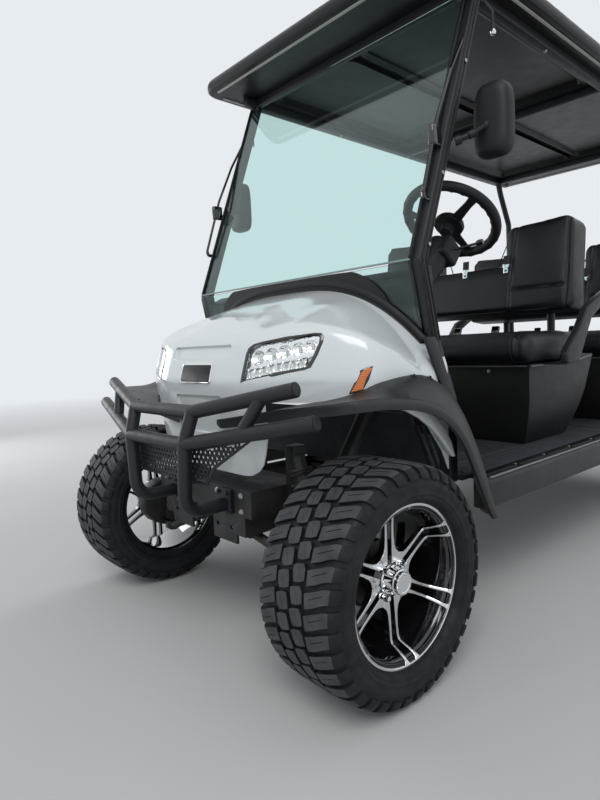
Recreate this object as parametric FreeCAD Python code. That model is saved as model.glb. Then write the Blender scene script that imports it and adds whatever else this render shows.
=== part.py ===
"""Lifted golf cart with two forward-facing bench seats, as an assembly of separate pieces.

Millimetres. +Z is up, the cart faces -Y, and its left side is +X. Every piece is drawn with y = 0
at the front axle, and is moved by axle_y when it is written, so that the origin lies on the ground
under the middle of the cart. Round tubes, tyres and rims are drawn with flat sides, whose flats lie
at the stated radius; pins, bores and bosses that fit one another are true cylinders."""

import FreeCAD, Part
import math
import os
from FreeCAD import Vector

# Overall layout.
front_reach = 308.0      # front axle to the foremost tube of the brush guard
wheelbase = 2504.0
rear_reach = 404.0       # rear axle to the rear face of the bumper
half_track = 559.0       # centreline to the middle of a tyre
axle_y = -(front_reach + wheelbase + rear_reach) / 2 + front_reach

# Tyres and wheels.
tyre_radius = 292.0
tyre_width = 254.0
tread_band = 84.0        # width of the solid band along the middle of the tread
lug_pitches = 28
lug_length = 44.0        # along the tread
lug_drop = 17.0          # depth of the grooves between the lugs, at the shoulder
sidewall_bulge = 52.0    # tread surface down to the widest place
bead_seat = 182.0
bead_clearance = 0.3
rim_width = 206.0
rim_lip = 16.0           # height of the lip above the bead seat
rim_wall = 10.0
hub_depth = 62.0         # outer lip down to the spokes' face
spoke_pairs = 6
spoke_width = 17.0
spoke_gap_angle = 12.0   # between the two bars of one pair, in degrees
spoke_thick = 16.0
hub_radius = 52.0
hub_thick = 30.0
cap_radius = 37.0
cap_height = 44.0

# Chassis and floor.
rail_x = 190.0
rail_width = 56.0
rail_low = 345.0
rail_high = 430.0
rail_front = -150.0
rail_rear_gap = 68.0     # rear bumper face back to the rails' ends
cross_rise = 15.0        # underside of the rails up to the underside of the crossmembers
floor_top = 460.0
floor_thick = 12.0
floor_front = 425.0
floor_ribs = 11
rib_height = 5.0
toe_top = 655.0          # top of the toe board
beam_half = 250.0        # front bumper beam
beam_low = 402.0
beam_high = 478.0
beam_rear = 60.0
bracket_x = 118.0        # bolt holes in the drop brackets under the beam
bracket_z = 362.0
bracket_pitch = 70.0
bracket_hole = 6.5
bracket_half = 58.0
bracket_thick = 8.0
bracket_low = 318.0
sill_in = 540.0
sill_out = 600.0
sill_low = 345.0
sill_high = 455.0
sill_front = 478.0
sill_rear = wheelbase - 388.0

# Front bodywork.
nose_face = -150.0       # centre of the nose at the badge
nose_half = 165.0        # half of the flat middle panel
nose_low = 520.0
cowl_half = 552.0
cowl_wall = 5.0
inner_flats = 4          # the cowl's inner skin follows each arc in so many flats
small_flats = 3          # the same for small rounded edges
tube_sides = 8
thin_sides = 6           # of thin tubes and of rods in the running gear
cowl_rear = 330.0
hood_centre_z = 1046.0   # hood height at the windshield
hood_flat = 116.0        # half of the level stretch there, before it curves down to the sides
hood_radius = 489.0
hood_end_x = 498.0
recess_depth = 9.0       # panels sunk in the nose above and below the badge
badge_thick = 5.0
flare_width = 85.0       # side of the rear body out to the flare's lip
arch_top = 702.0
arch_in = 268.0          # inner side of the wheel's room in the nose

# Windshield and its posts.
post_x = 520.0
post_size = 40.0
glass_thick = 6.0
glass_half = 516.0
knee_y = 222.0           # the posts and the glass bend at the knee
knee_z = 1088.0
glass_foot_y = 282.0
glass_foot_z = 858.0
glass_top_y = 516.0
glass_gap = 4.0          # between the panes and their frame
post_foot_y = 400.0
post_foot_z = 452.0
trim_width = 24.0
trim_flats = 8

# Roof.
roof_front = 360.0
roof_rear = wheelbase + 246.0
roof_half = 591.0
roof_low = 1912.0
roof_high = 1958.0
roof_corner = 60.0
roof_edge = 20.0
roof_rim = 52.0
roof_well = 24.0         # depth of the pressed panels in its underside
roof_tube = 30.0         # height and width of the frame under the roof
roof_tube_x = 500.0
rear_post_top_y = wheelbase + 26.0
rear_post_knee_y = wheelbase + 160.0
rear_post_knee_z = 1640.0
rear_post_foot_y = wheelbase + 196.0
rear_post_radius = 17.0
post_seat = 1.0          # the posts' sloping feet above the rear body

# Mirrors.
mirror_in = 572.0
mirror_out = 660.0
mirror_y = 495.0
mirror_thick = 50.0
mirror_z = 1472.0
mirror_height = 182.0
mirror_arm = 10.0

# Seats: each row is the same, one seat pitch behind the other.
pod_front = 1000.0
rear_pod_lead = 668.0    # front of the second pod ahead of the rear axle
seat_pitch = wheelbase - rear_pod_lead - pod_front
pod_half = 465.0
pod_top = 772.0
pod_back_y = 1400.0      # foot of the pod's rear wall
pod_back_lean = 180.0    # that wall's top further back than its foot
pod_back_top_z = 794.0
pod_tuck = 46.0          # the pod's front and sides curve in by this much at the floor
pod_wall = 6.0
cushion_front = 925.0
cushion_rear = pod_back_y
cushion_half = 500.0
cushion_top = 895.0
cushion_nose = 45.0
back_front = 1290.0
back_thick = 165.0
back_half = 488.0
back_low = 985.0
back_mid = 1215.0
back_high = 1368.0
back_notch = 185.0       # half of the low middle stretch
recline = 6.0
seat_post_x = 330.0
seat_tube = 16.0
hip_tube = 13.0
hip_x = 556.0
soft_gap = 0.3           # between a cushion and what it rests on
pack_clearance = 30.0    # battery pack to the pod's front and rear

# Steering.
kingpin_x = 460.0
kingpin_radius = 16.0
steer_arm = 118.0
tie_rod_z = 300.0
tie_rod_radius = 9.0
tie_pin_radius = 6.0
running_fit = 0.05       # radial, at shafts and pins
open_eye_fit = 0.4       # radial, where the closed linkage is opened
spindle_radius = 14.0
spindle_depth = 24.0
drum_radius = 86.0
drum_gap = 8.0           # drum face to the back of the wheel's hub
lower_eye_z = 200.0
upper_eye_z = 352.0
eye_height = 28.0
knuckle_rise = 14.0      # lower eye up to the knuckle's body, clear of the arms at full lock
column_x = 280.0
wheel_centre_y = 780.0
wheel_centre_z = 1300.0
column_lean = math.radians(53.0)
column_radius = 24.0
column_top = 120.0       # below the middle of the steering wheel, along the column
column_bore = 11.0
gear_height = 88.0       # steering gear above the rails
column_foot = (wheel_centre_z - rail_high - gear_height + 25.0) / math.sin(column_lean)
steering_wheel_radius = 168.0
steering_wheel_grip = 14.0

# Rear bodywork.
rear_body_half = sill_in + cowl_wall
rear_body_front = wheelbase - 260.0
rear_body_top = 800.0
rear_body_rear = wheelbase + 358.0
rear_body_low = 430.0
rear_arch_radius = 352.0
rear_flare = 34.0
flare_out = rear_body_half + flare_width
tray_rear = rear_body_rear - 32.0
tray_half = 430.0
tray_floor = 700.0
tray_wall = 6.0
tow_hole_y = wheelbase + 368.0
tow_hole = 11.0
tongue_low = 340.0


def box(x0, x1, y0, y1, z0, z1):
    return Part.makeBox(x1 - x0, y1 - y0, z1 - z0, Vector(x0, y0, z0))


def rod(start, end, radius):
    """A true cylinder between two points."""
    a, b = Vector(*start), Vector(*end)
    return Part.makeCylinder(radius, (b - a).Length, a, b - a)


def mirror(shape):
    """The same piece on the other side of the cart."""
    return shape.mirror(Vector(0, 0, 0), Vector(1, 0, 0))


def both(shape):
    return [shape, mirror(shape)]


def fuse(shapes):
    first, rest = shapes[0], list(shapes[1:])
    return first.fuse(rest).removeSplitter() if rest else first


def closed_wire(corners, flats):
    """A closed wire through the corners. A corner marked as an arc's middle bends the line there, in
    one true arc or in so many flats."""
    start, edges = corners[0][0], []
    queue = corners[1:] + corners[:1]
    while queue:
        point, is_middle = queue.pop(0)
        if is_middle:
            end = queue.pop(0)[0]
            arc = Part.Arc(start, point, end).toShape()
            if flats:
                line = arc.discretize(flats + 1)
                edges += [Part.LineSegment(a, b).toShape() for a, b in zip(line, line[1:])]
            else:
                edges.append(arc)
            point = end
        else:
            edges.append(Part.LineSegment(start, point).toShape())
        start = point
    return Part.Wire(edges)


def side_plate(outline, x0, x1, flats=0):
    """An outline of (y, z) points, solid from x0 to x1. A third value marks an arc's middle point."""
    face = Part.Face(closed_wire([(Vector(x0, p[0], p[1]), len(p) > 2) for p in outline], flats))
    return face.extrude(Vector(x1 - x0, 0, 0))


def front_plate(outline, y0, y1, flats=0):
    """An outline of (x, z) points, solid from y0 to y1. A third value marks an arc's middle point."""
    face = Part.Face(closed_wire([(Vector(p[0], y0, p[1]), len(p) > 2) for p in outline], flats))
    return face.extrude(Vector(0, y1 - y0, 0))


def plan_plate(outline, z0, z1, flats=0):
    """An outline of (x, y) points, solid from z0 to z1. A third value marks an arc's middle point."""
    face = Part.Face(closed_wire([(Vector(p[0], p[1], z0), len(p) > 2) for p in outline], flats))
    return face.extrude(Vector(0, 0, z1 - z0))


def outline_both(half):
    """An outline from the middle outwards, closed on the other side of the cart."""
    return half + [(-p[0], *p[1:]) for p in reversed(half) if p[0]]


def solid_of(faces):
    """The closed solid that a set of flat faces bounds."""
    shell = Part.makeShell([Part.Face(Part.makePolygon(face + face[:1])) for face in faces])
    shell.sewShape()
    solid = Part.makeSolid(shell)
    if solid.Volume < 0:
        solid.reverse()
    return solid


def turned(profile, sides):
    """A closed profile of (offset, radius) points carried round the X axis in flat sides."""
    spread = 1 / math.cos(math.pi / sides)

    def corner(n, point):
        angle = 2 * math.pi * (n + 0.5) / sides
        radius = point[1] * spread
        return Vector(point[0], radius * math.sin(angle), radius * math.cos(angle))

    faces = []
    for n in range(sides):
        for p, q in zip(profile, profile[1:] + profile[:1]):
            ring = [corner(n, p), corner(n, q), corner(n + 1, q), corner(n + 1, p)]
            ring = [a for a, b in zip(ring, ring[1:] + ring[:1]) if (a - b).Length > 1e-6]
            if len(ring) > 2:
                faces.append(ring)
    return solid_of(faces)


def placed(shape, centre, side=1):
    """A piece drawn about the X axis, set on an axle. Side -1 turns its outer face to the right."""
    shape = shape.copy() if side > 0 else mirror(shape)
    shape.translate(Vector(*centre))
    return shape


def bend_line(points, bend, step=math.radians(45.0)):
    """A line whose corners are rounded by short chords of one bend radius."""
    p = [Vector(*q) for q in points]
    line = [p[0]]
    for before, corner, after in zip(p, p[1:], p[2:]):
        a, c = (before - corner).normalize(), (after - corner).normalize()
        half = a.getAngle(c) / 2
        turn = math.pi - 2 * half
        centre = corner + (a + c).normalize() * (bend / math.sin(half))
        first = corner + a * (bend / math.tan(half)) - centre
        last = corner + c * (bend / math.tan(half)) - centre
        chords = max(1, round(turn / step))
        for k in range(chords + 1):
            share = turn * k / chords
            line.append(centre + first * (math.sin(turn - share) / math.sin(turn)) + last * (math.sin(share) / math.sin(turn)))
    return line + [p[-1]]


def tube(points, radius, bend=0.0, sides=tube_sides):
    """A round tube drawn with flat sides, mitred at each corner or bent to a radius."""
    line = bend_line(points, bend) if bend else [Vector(*q) for q in points]
    along = (line[1] - line[0]).normalize()
    across = along.cross(Vector(0, 0, 1))
    if across.Length < 0.1:
        across = along.cross(Vector(1, 0, 0))
    across.normalize()
    up = along.cross(across)
    reach = radius / math.cos(math.pi / sides)
    angles = [2 * math.pi * (n + 0.5) / sides for n in range(sides)]
    ring = [line[0] + across * (reach * math.cos(t)) + up * (reach * math.sin(t)) for t in angles]
    rings = [ring]
    for n in range(1, len(line)):
        along = (line[n] - line[n - 1]).normalize()
        after = (line[n + 1] - line[n]).normalize() if n + 1 < len(line) else along
        normal = (along + after).normalize()
        ring = [q + along * ((line[n] - q).dot(normal) / along.dot(normal)) for q in ring]
        rings.append(ring)
    faces = [rings[0], rings[-1]]
    for near, far in zip(rings, rings[1:]):
        for a, b, c, d in zip(near, near[1:] + near[:1], far[1:] + far[:1], far):
            faces.append([a, b, c, d])
    return solid_of(faces)


def rounded(shape, radius, keep):
    """Fillets the edges that keep(edge) picks."""
    return shape.makeFillet(radius, [e for e in shape.Edges if keep(e)])


def bevelled(shape, width, keep):
    """The same with flat bevels."""
    return shape.makeChamfer(width, [e for e in shape.Edges if keep(e)])


def is_vertical(edge):
    return edge.BoundBox.ZLength > 1 and edge.BoundBox.XLength < 1e-6 and edge.BoundBox.YLength < 1e-6


def runs_along_x(edge):
    return edge.BoundBox.XLength > 1 and edge.BoundBox.YLength < 1e-6 and edge.BoundBox.ZLength < 1e-6


def at_height(edge, z):
    return abs(edge.BoundBox.ZMin - z) < 1e-6 and edge.BoundBox.ZLength < 1e-6


def write(name, shapes):
    if not isinstance(shapes, list):
        shapes = [shapes]
    solids = [s for shape in shapes for s in shape.Solids]
    whole = Part.makeCompound(solids) if len(solids) > 1 else solids[0]
    whole = whole.copy()
    whole.translate(Vector(0, axle_y, 0))
    whole.exportStep("parts/" + name + ".step")
    print(name, len(solids), "solid(s)", round(sum(s.Volume for s in solids) / 1e6, 2), "litres",
          all(s.isValid() for s in solids))


# Wheels, drawn about the X axis with the outer face towards +X.
def tyre():
    """One pitch of the tread has a lug at each shoulder. The air chamber, which nothing shows, is left solid."""
    half, band, crown = tyre_width / 2, tread_band / 2, tyre_radius
    bead = rim_width / 2 - 8
    seat = bead_seat + bead_clearance
    shoulder, lug_edge = half - 22, half - 20
    widest = crown - sidewall_bulge
    pitch_angle = 2 * math.pi / lug_pitches
    lug = lug_length / 2

    def edge(radius):
        return radius * math.tan(pitch_angle / 2)

    flat = [[(-bead, seat, -1), (bead, seat, -1), (bead, seat, 1), (-bead, seat, 1)]]
    top = []
    for s in (-1, 1):
        wall = [(s * bead, seat), (s * bead, widest - 33), (s * half, widest)]
        for p, q in zip(wall, wall[1:]):
            flat.append([(*p, -1), (*q, -1), (*q, 1), (*p, 1)])
        floor_edge = (s * shoulder, crown - lug_drop)
        for t in (-1, 1):
            flat.append([(s * half, widest, t), (*floor_edge, t), (*floor_edge, t * lug), (s * half, widest, t * lug)])
            flat.append([(*floor_edge, t), (s * band, crown, t), (s * band, crown, t * lug), (*floor_edge, t * lug)])
            flat.append([(s * half, widest, t * lug), (*floor_edge, t * lug), (s * band, crown, t * lug),
                         (s * lug_edge, crown, t * lug)])
        flat.append([(s * half, widest, -lug), (s * half, widest, lug), (s * lug_edge, crown, lug), (s * lug_edge, crown, -lug)])
        flank = [(s * band, crown, s), (s * band, crown, s * lug), (s * lug_edge, crown, s * lug)]
        top += flank + [(o, r, -t) for o, r, t in reversed(flank)]
    flat.append(top)
    faces = []
    for n in range(lug_pitches):
        turn = n * pitch_angle
        for face in flat:
            ring = []
            for offset, radius, t in face:
                sideways = t * edge(radius) if abs(t) == 1 else t
                ring.append(Vector(offset, sideways * math.cos(turn) + radius * math.sin(turn),
                                   radius * math.cos(turn) - sideways * math.sin(turn)))
            faces.append(ring)
    return solid_of(faces)


def rim():
    half = rim_width / 2
    lip = bead_seat + rim_lip
    outside = [(-half, lip), (7 - half, bead_seat), (half - 7, bead_seat), (half, lip)]
    inside = [(half, lip - 7), (half - 19, bead_seat - rim_wall), (19 - half, bead_seat - rim_wall), (-half, lip - 7)]
    face = half - hub_depth
    back = face - hub_thick
    pieces = [turned(outside + inside, lug_pitches), turned([(back, 0), (back, hub_radius), (face, hub_radius), (face, 0)], 8)]
    seat = bead_seat - rim_wall
    for n in range(spoke_pairs):
        for which in (-0.5, 0.5):
            outline = [(face - spoke_thick, hub_radius - 12), (face, hub_radius - 12), (face, 150),
                       (half - 20, seat + 4), (face - spoke_thick, seat + 4)]
            bar = Part.Face(Part.makePolygon([Vector(o, -spoke_width / 2, r) for o, r in outline + outline[:1]]))
            bar = bar.extrude(Vector(0, spoke_width, 0))
            bar.rotate(Vector(0, 0, 0), Vector(1, 0, 0), 360.0 / spoke_pairs * n + which * spoke_gap_angle)
            pieces.append(bar)
    pieces.append(turned([(face, 0), (face, cap_radius), (face + cap_height - 8, cap_radius - 5),
                          (face + cap_height, cap_radius - 14), (face + cap_height, 0)], 8))
    wheel = fuse(pieces)
    return wheel.cut(rod((back - 1, 0, 0), (face - 4, 0, 0), spindle_radius + running_fit))


# Chassis.
def spaced(first, last, count):
    return [first + (last - first) * n / (count - 1) for n in range(count)]


def frame():
    rear_end = wheelbase + rear_reach - rail_rear_gap
    pieces = []
    for side in (-1, 1):
        x0 = side * rail_x - rail_width / 2
        pieces.append(box(x0, x0 + rail_width, rail_front, rear_end, rail_low, rail_high))
    pieces.append(box(-beam_half, beam_half, rail_front, beam_rear, beam_low, beam_high))
    for y in spaced(floor_front + 5, wheelbase - 454, 4) + [rear_end - 60]:
        pieces.append(box(-rail_x, rail_x, y, y + 50, rail_low + cross_rise, rail_high - 10))
    for y in spaced(sill_front + 222, sill_rear - 216, 3):
        pieces.append(box(-sill_in, sill_in, y, y + 40, rail_high - 45, rail_high))
    # Drop brackets of the lift kit under the beam.
    for side in (-1, 1):
        x0 = side * bracket_x - bracket_half
        for y, top in ((rail_front, beam_low), (130.0, rail_low + cross_rise)):
            pieces.append(box(x0, x0 + 2 * bracket_half, y, y + bracket_thick, bracket_low, top))
    chassis = fuse(pieces)
    for side in (-1, 1):
        for x in (-bracket_pitch / 2, bracket_pitch / 2):
            hole_x = side * bracket_x + x
            hole = rod((hole_x, rail_front - 1, bracket_z), (hole_x, rail_front + 20, bracket_z), bracket_hole)
            chassis = chassis.cut(hole)
    return chassis


def floor():
    low = floor_top - floor_thick
    pan = box(1 - sill_in, sill_in - 1, floor_front, sill_rear, low, floor_top)
    ribs = [box(x - 6, x + 6, floor_front + 95, pod_front - 40, floor_top, floor_top + rib_height)
            for x in spaced(120 - sill_in, sill_in - 120, floor_ribs)]
    toe = side_plate([(floor_front, low), (floor_front, floor_top), (floor_front - 90, toe_top - 15),
                      (floor_front - 90, toe_top), (floor_front - 102, toe_top), (floor_front - 102, toe_top - 17)],
                     -tray_half, tray_half)
    return fuse([pan, toe] + ribs)


def sills():
    outline = [(sill_front, sill_low + 10), (sill_front, sill_high), (sill_rear, sill_high), (sill_rear, sill_low)]
    sill = side_plate(outline, sill_in, sill_out)
    sill = bevelled(sill, 12, lambda e: e.BoundBox.YLength > 1000 and e.BoundBox.XMin > sill_out - 1)
    return both(sill)


# Front bodywork.
def hood_edge(offset, end_x=hood_end_x):
    """Half of the hood's rear edge as (x, z) points, raised by offset: level, then an arc."""
    centre = hood_centre_z - hood_radius
    reach = hood_radius + offset
    end = math.asin((end_x - hood_flat) / hood_radius)
    middle = end / 2
    return [(0, hood_centre_z + offset), (hood_flat, hood_centre_z + offset),
            (hood_flat + reach * math.sin(middle), centre + reach * math.cos(middle), "arc"),
            (hood_flat + reach * math.sin(end), centre + reach * math.cos(end))]


def cowl_block(inset=0.0):
    """The nose: plan outline, hood line and shoulders cut from one another."""
    i = inset
    front = nose_face + i
    spare, flats = (1, inner_flats) if inset > 0 else (0, 0)
    rear = cowl_rear + spare
    side = cowl_half - i
    half = [(0, front), (nose_half - i / 2, front), (432 - i * 0.6, -52 + i * 0.8, "arc"), (side, 190), (side, rear)]
    plan = plan_plate(outline_both(half), nose_low - spare, hood_centre_z + 60, flats)
    hood = side_plate([(nose_face - 50, 400), (nose_face - 50, 872 - i), (nose_face + 32, 890 - i), (40, 990 - i, "arc"),
                       (knee_y - 4, hood_centre_z - i), (rear + 5, hood_centre_z + 16 - i), (rear + 5, 400)],
                      -700, 700, flats)
    brow = hood_edge(-i) + [(530 - i * 0.7, 826 - i * 0.7), (cowl_half + 23 - i, 700), (cowl_half + 23 - i, 400)]
    shoulders = front_plate(outline_both(brow), nose_face - 100, rear + 2, flats)
    return plan.common(hood).common(shoulders)


def arch_space():
    """What the left front wheel and its lock need inside the bodywork."""
    outline = [(-400, 300), (-400, arch_top), (70, arch_top), (240, 612, "arc"), (360, 440), (360, 300)]
    return side_plate(outline, arch_in, 800)


def glass_slab(front, back):
    """Everything between two distances behind the front of the lower windshield panel."""
    slope = (glass_foot_y - knee_y) / (knee_z - glass_foot_z)
    top, low = knee_z + 200, glass_foot_z - 350
    y_top, y_low = knee_y - (top - knee_z) * slope, knee_y + (knee_z - low) * slope
    return side_plate([(y_top + front, top), (y_low + front, low), (y_low + back, low), (y_top + back, top)], -700, 700)


lamp_outline = [(222, 783), (262, 864), (452, 888), (434, 815)]      # (x, z), seen from the front
marker_outline = [(-18, 748), (22, 806), (58, 810), (24, 756)]       # (y, z), seen from the side
nose_recesses = [(155, 838, 866), (133, 640, 768)]                   # (half width, low z, high z)


def lamp_space():
    return front_plate(lamp_outline, nose_face - 110, 80)


def marker_space():
    return side_plate(marker_outline, 380, 640)


def cowl():
    shell = cowl_block().cut(cowl_block(cowl_wall))
    for half, low, high in nose_recesses:
        front, floor_y, back = nose_face - 1, nose_face + recess_depth, nose_face + recess_depth + cowl_wall
        w = cowl_wall
        tray = box(-half - w, half + w, nose_face + 1, back, low - w, high + w)
        shell = shell.fuse(tray).cut(box(-half, half, front, floor_y, low, high))
    for side in both(arch_space()) + both(lamp_space()) + both(marker_space()):
        shell = shell.cut(side)
    cockpit = glass_slab(-trim_width / 2, 400).common(box(-700, 700, 0, 900, glass_foot_z, 1400))
    shell = shell.cut(cockpit)
    for post in windshield_posts():
        shell = shell.cut(post)
    return shell


def headlights():
    skin = cowl_block(-3).cut(cowl_block(38))
    return both(skin.common(lamp_space()))


def marker_lights():
    skin = cowl_block(-2).cut(cowl_block(cowl_wall))
    return both(skin.common(marker_space()))


def nose_badge():
    """The badge's place, left bare."""
    return box(-80, 80, nose_face - badge_thick, nose_face, 780, 827)


def windshield_trim():
    """The black band that closes the hood's rear edge against the glass."""
    ring = front_plate(outline_both(hood_edge(6) + [(hood_end_x + 6, 700)]), 0, 400, trim_flats)
    ring = ring.cut(front_plate(outline_both(hood_edge(-trim_width) + [(hood_end_x - trim_width, 700)]), -1, 401, trim_flats))
    slab = glass_slab(-trim_width / 2, -0.5)
    return ring.common(slab).common(box(-700, 700, 0, 900, glass_foot_z, 1400))


def windshield_lower():
    top = knee_z - glass_gap
    pane = front_plate([(-glass_half, top), (glass_half, top), (glass_half, glass_foot_z + 18),
                        (glass_half - 14, glass_foot_z + 4), (14 - glass_half, glass_foot_z + 4),
                        (-glass_half, glass_foot_z + 18)], 0, 400)
    hood = front_plate(outline_both(hood_edge(8) + [(hood_end_x + 8, 500)]), -1, 401, trim_flats)
    return pane.cut(hood).common(glass_slab(0, glass_thick))


def windshield_upper():
    rise = (glass_top_y - knee_y) / (roof_low - roof_tube - knee_z)
    low = (knee_y + glass_gap * rise, knee_z + glass_gap)
    top = (glass_top_y - glass_gap * rise, roof_low - roof_tube - glass_gap)
    outline = [low, top, (top[0] + glass_thick, top[1]), (low[0] + glass_thick, low[1])]
    return side_plate(outline, -glass_half, glass_half)


def windshield_posts():
    """Square tubes that bend at the knee and again at the foot of the glass."""
    g = glass_thick
    front = [(glass_top_y + g, roof_low - roof_tube), (knee_y + g, knee_z), (glass_foot_y + g, glass_foot_z),
             (post_foot_y - post_size, glass_foot_z - 158), (post_foot_y - post_size, post_foot_z)]
    back = [(y + post_size, z) for y, z in reversed(front)]
    return both(side_plate(front + back, post_x - post_size / 2, post_x + post_size / 2))


def dashboard():
    """Rolled top, raked face and two open gloveboxes."""
    foot, half = glass_foot_z, post_x - post_size / 2
    outline = [(glass_foot_y + 12, foot + 2), (knee_y + 20, 1050), (300, 1078), (400, 1090, "arc"), (500, 1072),
               (562, 1040, "arc"), (572, 990), (545, 905), (450, foot + 10)]
    dash = side_plate(outline, -half, half, small_flats)
    for x0, x1 in ((-430, -180), (-60, 60)):
        dash = dash.cut(box(x0, x1, 470, 620, 930, 1020))
    return dash.cut(column_bar(column_radius + 0.5, 0, 1200))


# Steering.
def along_column(distance):
    return (column_x, wheel_centre_y - distance * math.cos(column_lean), wheel_centre_z - distance * math.sin(column_lean))


def column_bar(radius, start, end):
    return rod(along_column(start), along_column(end), radius)


def steering_column():
    column = column_bar(column_radius, column_top, column_foot)
    foot = along_column(column_foot)
    right = column_x + 18
    gear = box(column_x - 34, right, foot[1] - 40, foot[1] + 30, rail_high, rail_high + gear_height)
    shelf = box(rail_x + rail_width / 2, right, foot[1] - 40, foot[1] + 30, rail_high - 24, rail_high)
    column = fuse([column, gear, shelf])
    return column.cut(column_bar(column_bore, column_top - 1, column_top + 70))


def steering_wheel():
    """Drawn about the X axis and laid on the column: rim, three spokes, hub and shaft."""
    radius, grip = steering_wheel_radius, steering_wheel_grip
    profile = [(grip * math.cos(t), radius + grip * math.sin(t)) for t in spaced(0, 2 * math.pi, 7)[:-1]]
    pieces = [turned(profile, 20), turned([(8, 0), (8, 38), (70, 38), (70, 0)], 8),
              turned([(70, 0), (70, 24), (column_top - 6, 24), (column_top - 6, 0)], 8)]
    for angle in (90, 270, 180):
        spoke = box(8, 18, -17, 17, 26, radius - 5)
        spoke.rotate(Vector(0, 0, 0), Vector(1, 0, 0), angle)
        pieces.append(spoke)
    pieces.append(rod((column_top - 7, 0, 0), (column_top + 60, 0, 0), column_bore - running_fit))
    wheel = fuse(pieces)
    wheel.rotate(Vector(0, 0, 0), Vector(0, 0, 1), -90)
    wheel.rotate(Vector(0, 0, 0), Vector(1, 0, 0), math.degrees(column_lean))
    wheel.translate(Vector(*along_column(0)))
    return wheel


def pedals():
    """Brake and throttle pads on arms that rise from the floor."""
    pieces = []
    top = toe_top - 15
    front = floor_front - 20
    for x, half_width, height in ((200, 32, 150), (310, 45, 85)):
        pad = side_plate([(front, top), (front + 40, top - height), (front + 54, top - height), (front + 14, top)],
                         x - half_width, x + half_width)
        arm = side_plate([(front + 18, top - 40), (front + 65, floor_top), (front + 85, floor_top), (front + 34, top - 36)],
                         x - 8, x + 8)
        pieces.append(fuse([pad, arm]))
    return pieces


# Brush guard.
guard_radius = 19.0
guard_bend = 50.0
guard_top_tube = [(490, -183, 767), (165, -265, 705)]            # (x, y, z) from the free end inwards
guard_low_tube = [(560, -188, 694), (155, guard_radius - front_reach, 621)]
guard_strut_x = (392, 344)                                       # on the upper and the lower tube
guard_foot = (140, 430)                                          # (x, z)
guard_foot_half = 30.0
guard_foot_thick = 16.0
guard_plate = [(155, 606), (362, 644), (236, 560), (204, 511)]   # (x, z)
guard_plate_thick = 4.0


def across(half):
    return half + [(-x, y, z) for x, y, z in reversed(half)]


def on_line(line, x):
    """The point of a line that lies at x."""
    a, b = line
    share = (x - a[0]) / (b[0] - a[0])
    return [p + (q - p) * share for p, q in zip(a, b)]


def brush_guard():
    """Two mitred cross tubes with free ends, struts between them, and uprights bent back to the beam."""
    pieces = [tube(across(guard_top_tube), guard_radius), tube(across(guard_low_tube), guard_radius)]
    for side in (-1, 1):
        strut = [on_line(line, x) for line, x in zip((guard_top_tube, guard_low_tube), guard_strut_x)]
        pieces.append(tube([(side * x, y, z) for x, y, z in strut], guard_radius - 2))
        x, z = guard_foot
        low = guard_low_tube[1]
        upright = [guard_top_tube[1], low, (x, low[1], z), (x, rail_front - 10, z)]
        pieces.append(tube([(side * x, y, z) for x, y, z in upright], guard_radius, guard_bend))
        foot = side * x
        pieces.append(box(foot - guard_foot_half, foot + guard_foot_half, rail_front - guard_foot_thick, rail_front,
                          beam_low + 3, beam_high - 3))
    return fuse(pieces)


def guard_mesh():
    """A plate against the back of the uprights, whose wings follow the lower tube's sweep."""
    x1, y1, _ = guard_low_tube[1]
    reach = guard_radius / math.cos(math.pi / tube_sides)
    front, tip = y1 + reach, guard_plate[1][0] + 20
    swept = on_line(guard_low_tube, tip)[1] + reach
    edge = [(-tip, swept), (-x1, front), (x1, front), (tip, swept)]
    slab = plan_plate(edge + [(x, y + guard_plate_thick) for x, y in reversed(edge)], 400, 800)
    outline = outline_both([(0, guard_plate[0][1])] + guard_plate + [(0, guard_plate[-1][1])])
    return front_plate(outline, front - 20, swept + 20).common(slab)


# Flares.
def front_flares():
    inner = [(-182, 744), (-70, 752), (39, 765), (178, 784), (277, 788), (372, 700), (462, 560), (540, 345),
             (470, 345), (404, 480), (306, 600), (209, 690), (119, 716), (-41, 722), (-182, 718)]
    outer = [(y, z - 12 - 0.1 * max(0.0, z - 700)) for y, z in inner]
    rings = [Part.makePolygon([Vector(x, y, z) for y, z in ring + ring[:1]]) for x, ring in ((220, inner), (flare_out, outer))]
    band = Part.makeLoft(rings, True, True)
    plan = [(250, -165), (flare_out - 60, -165), (flare_out, -110), (flare_out, 560), (sill_in + 2, 560),
            (sill_in + 2, 180), (519, 45), (430, -62), (258, -142)]
    flare = band.common(plan_plate(plan, 300, 900))
    flare = flare.cut(cowl_block()).cut(box(sill_in, sill_out, sill_front, sill_rear, sill_low - 50, sill_high))
    return both(flare)


def rear_flares():
    x0, x1, r = rear_body_half, flare_out, rear_arch_radius
    ring = turned([(x0, r), (x0, r + rear_flare), (x1 - 12, r + rear_flare), (x1, r + rear_flare - 14), (x1, r)], 28)
    ring = placed(ring, (0, wheelbase, tyre_radius))
    return both(ring.common(box(x0, x1, wheelbase - 2 * r, wheelbase + 2 * r, sill_low, sill_low + 2 * r)))


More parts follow.
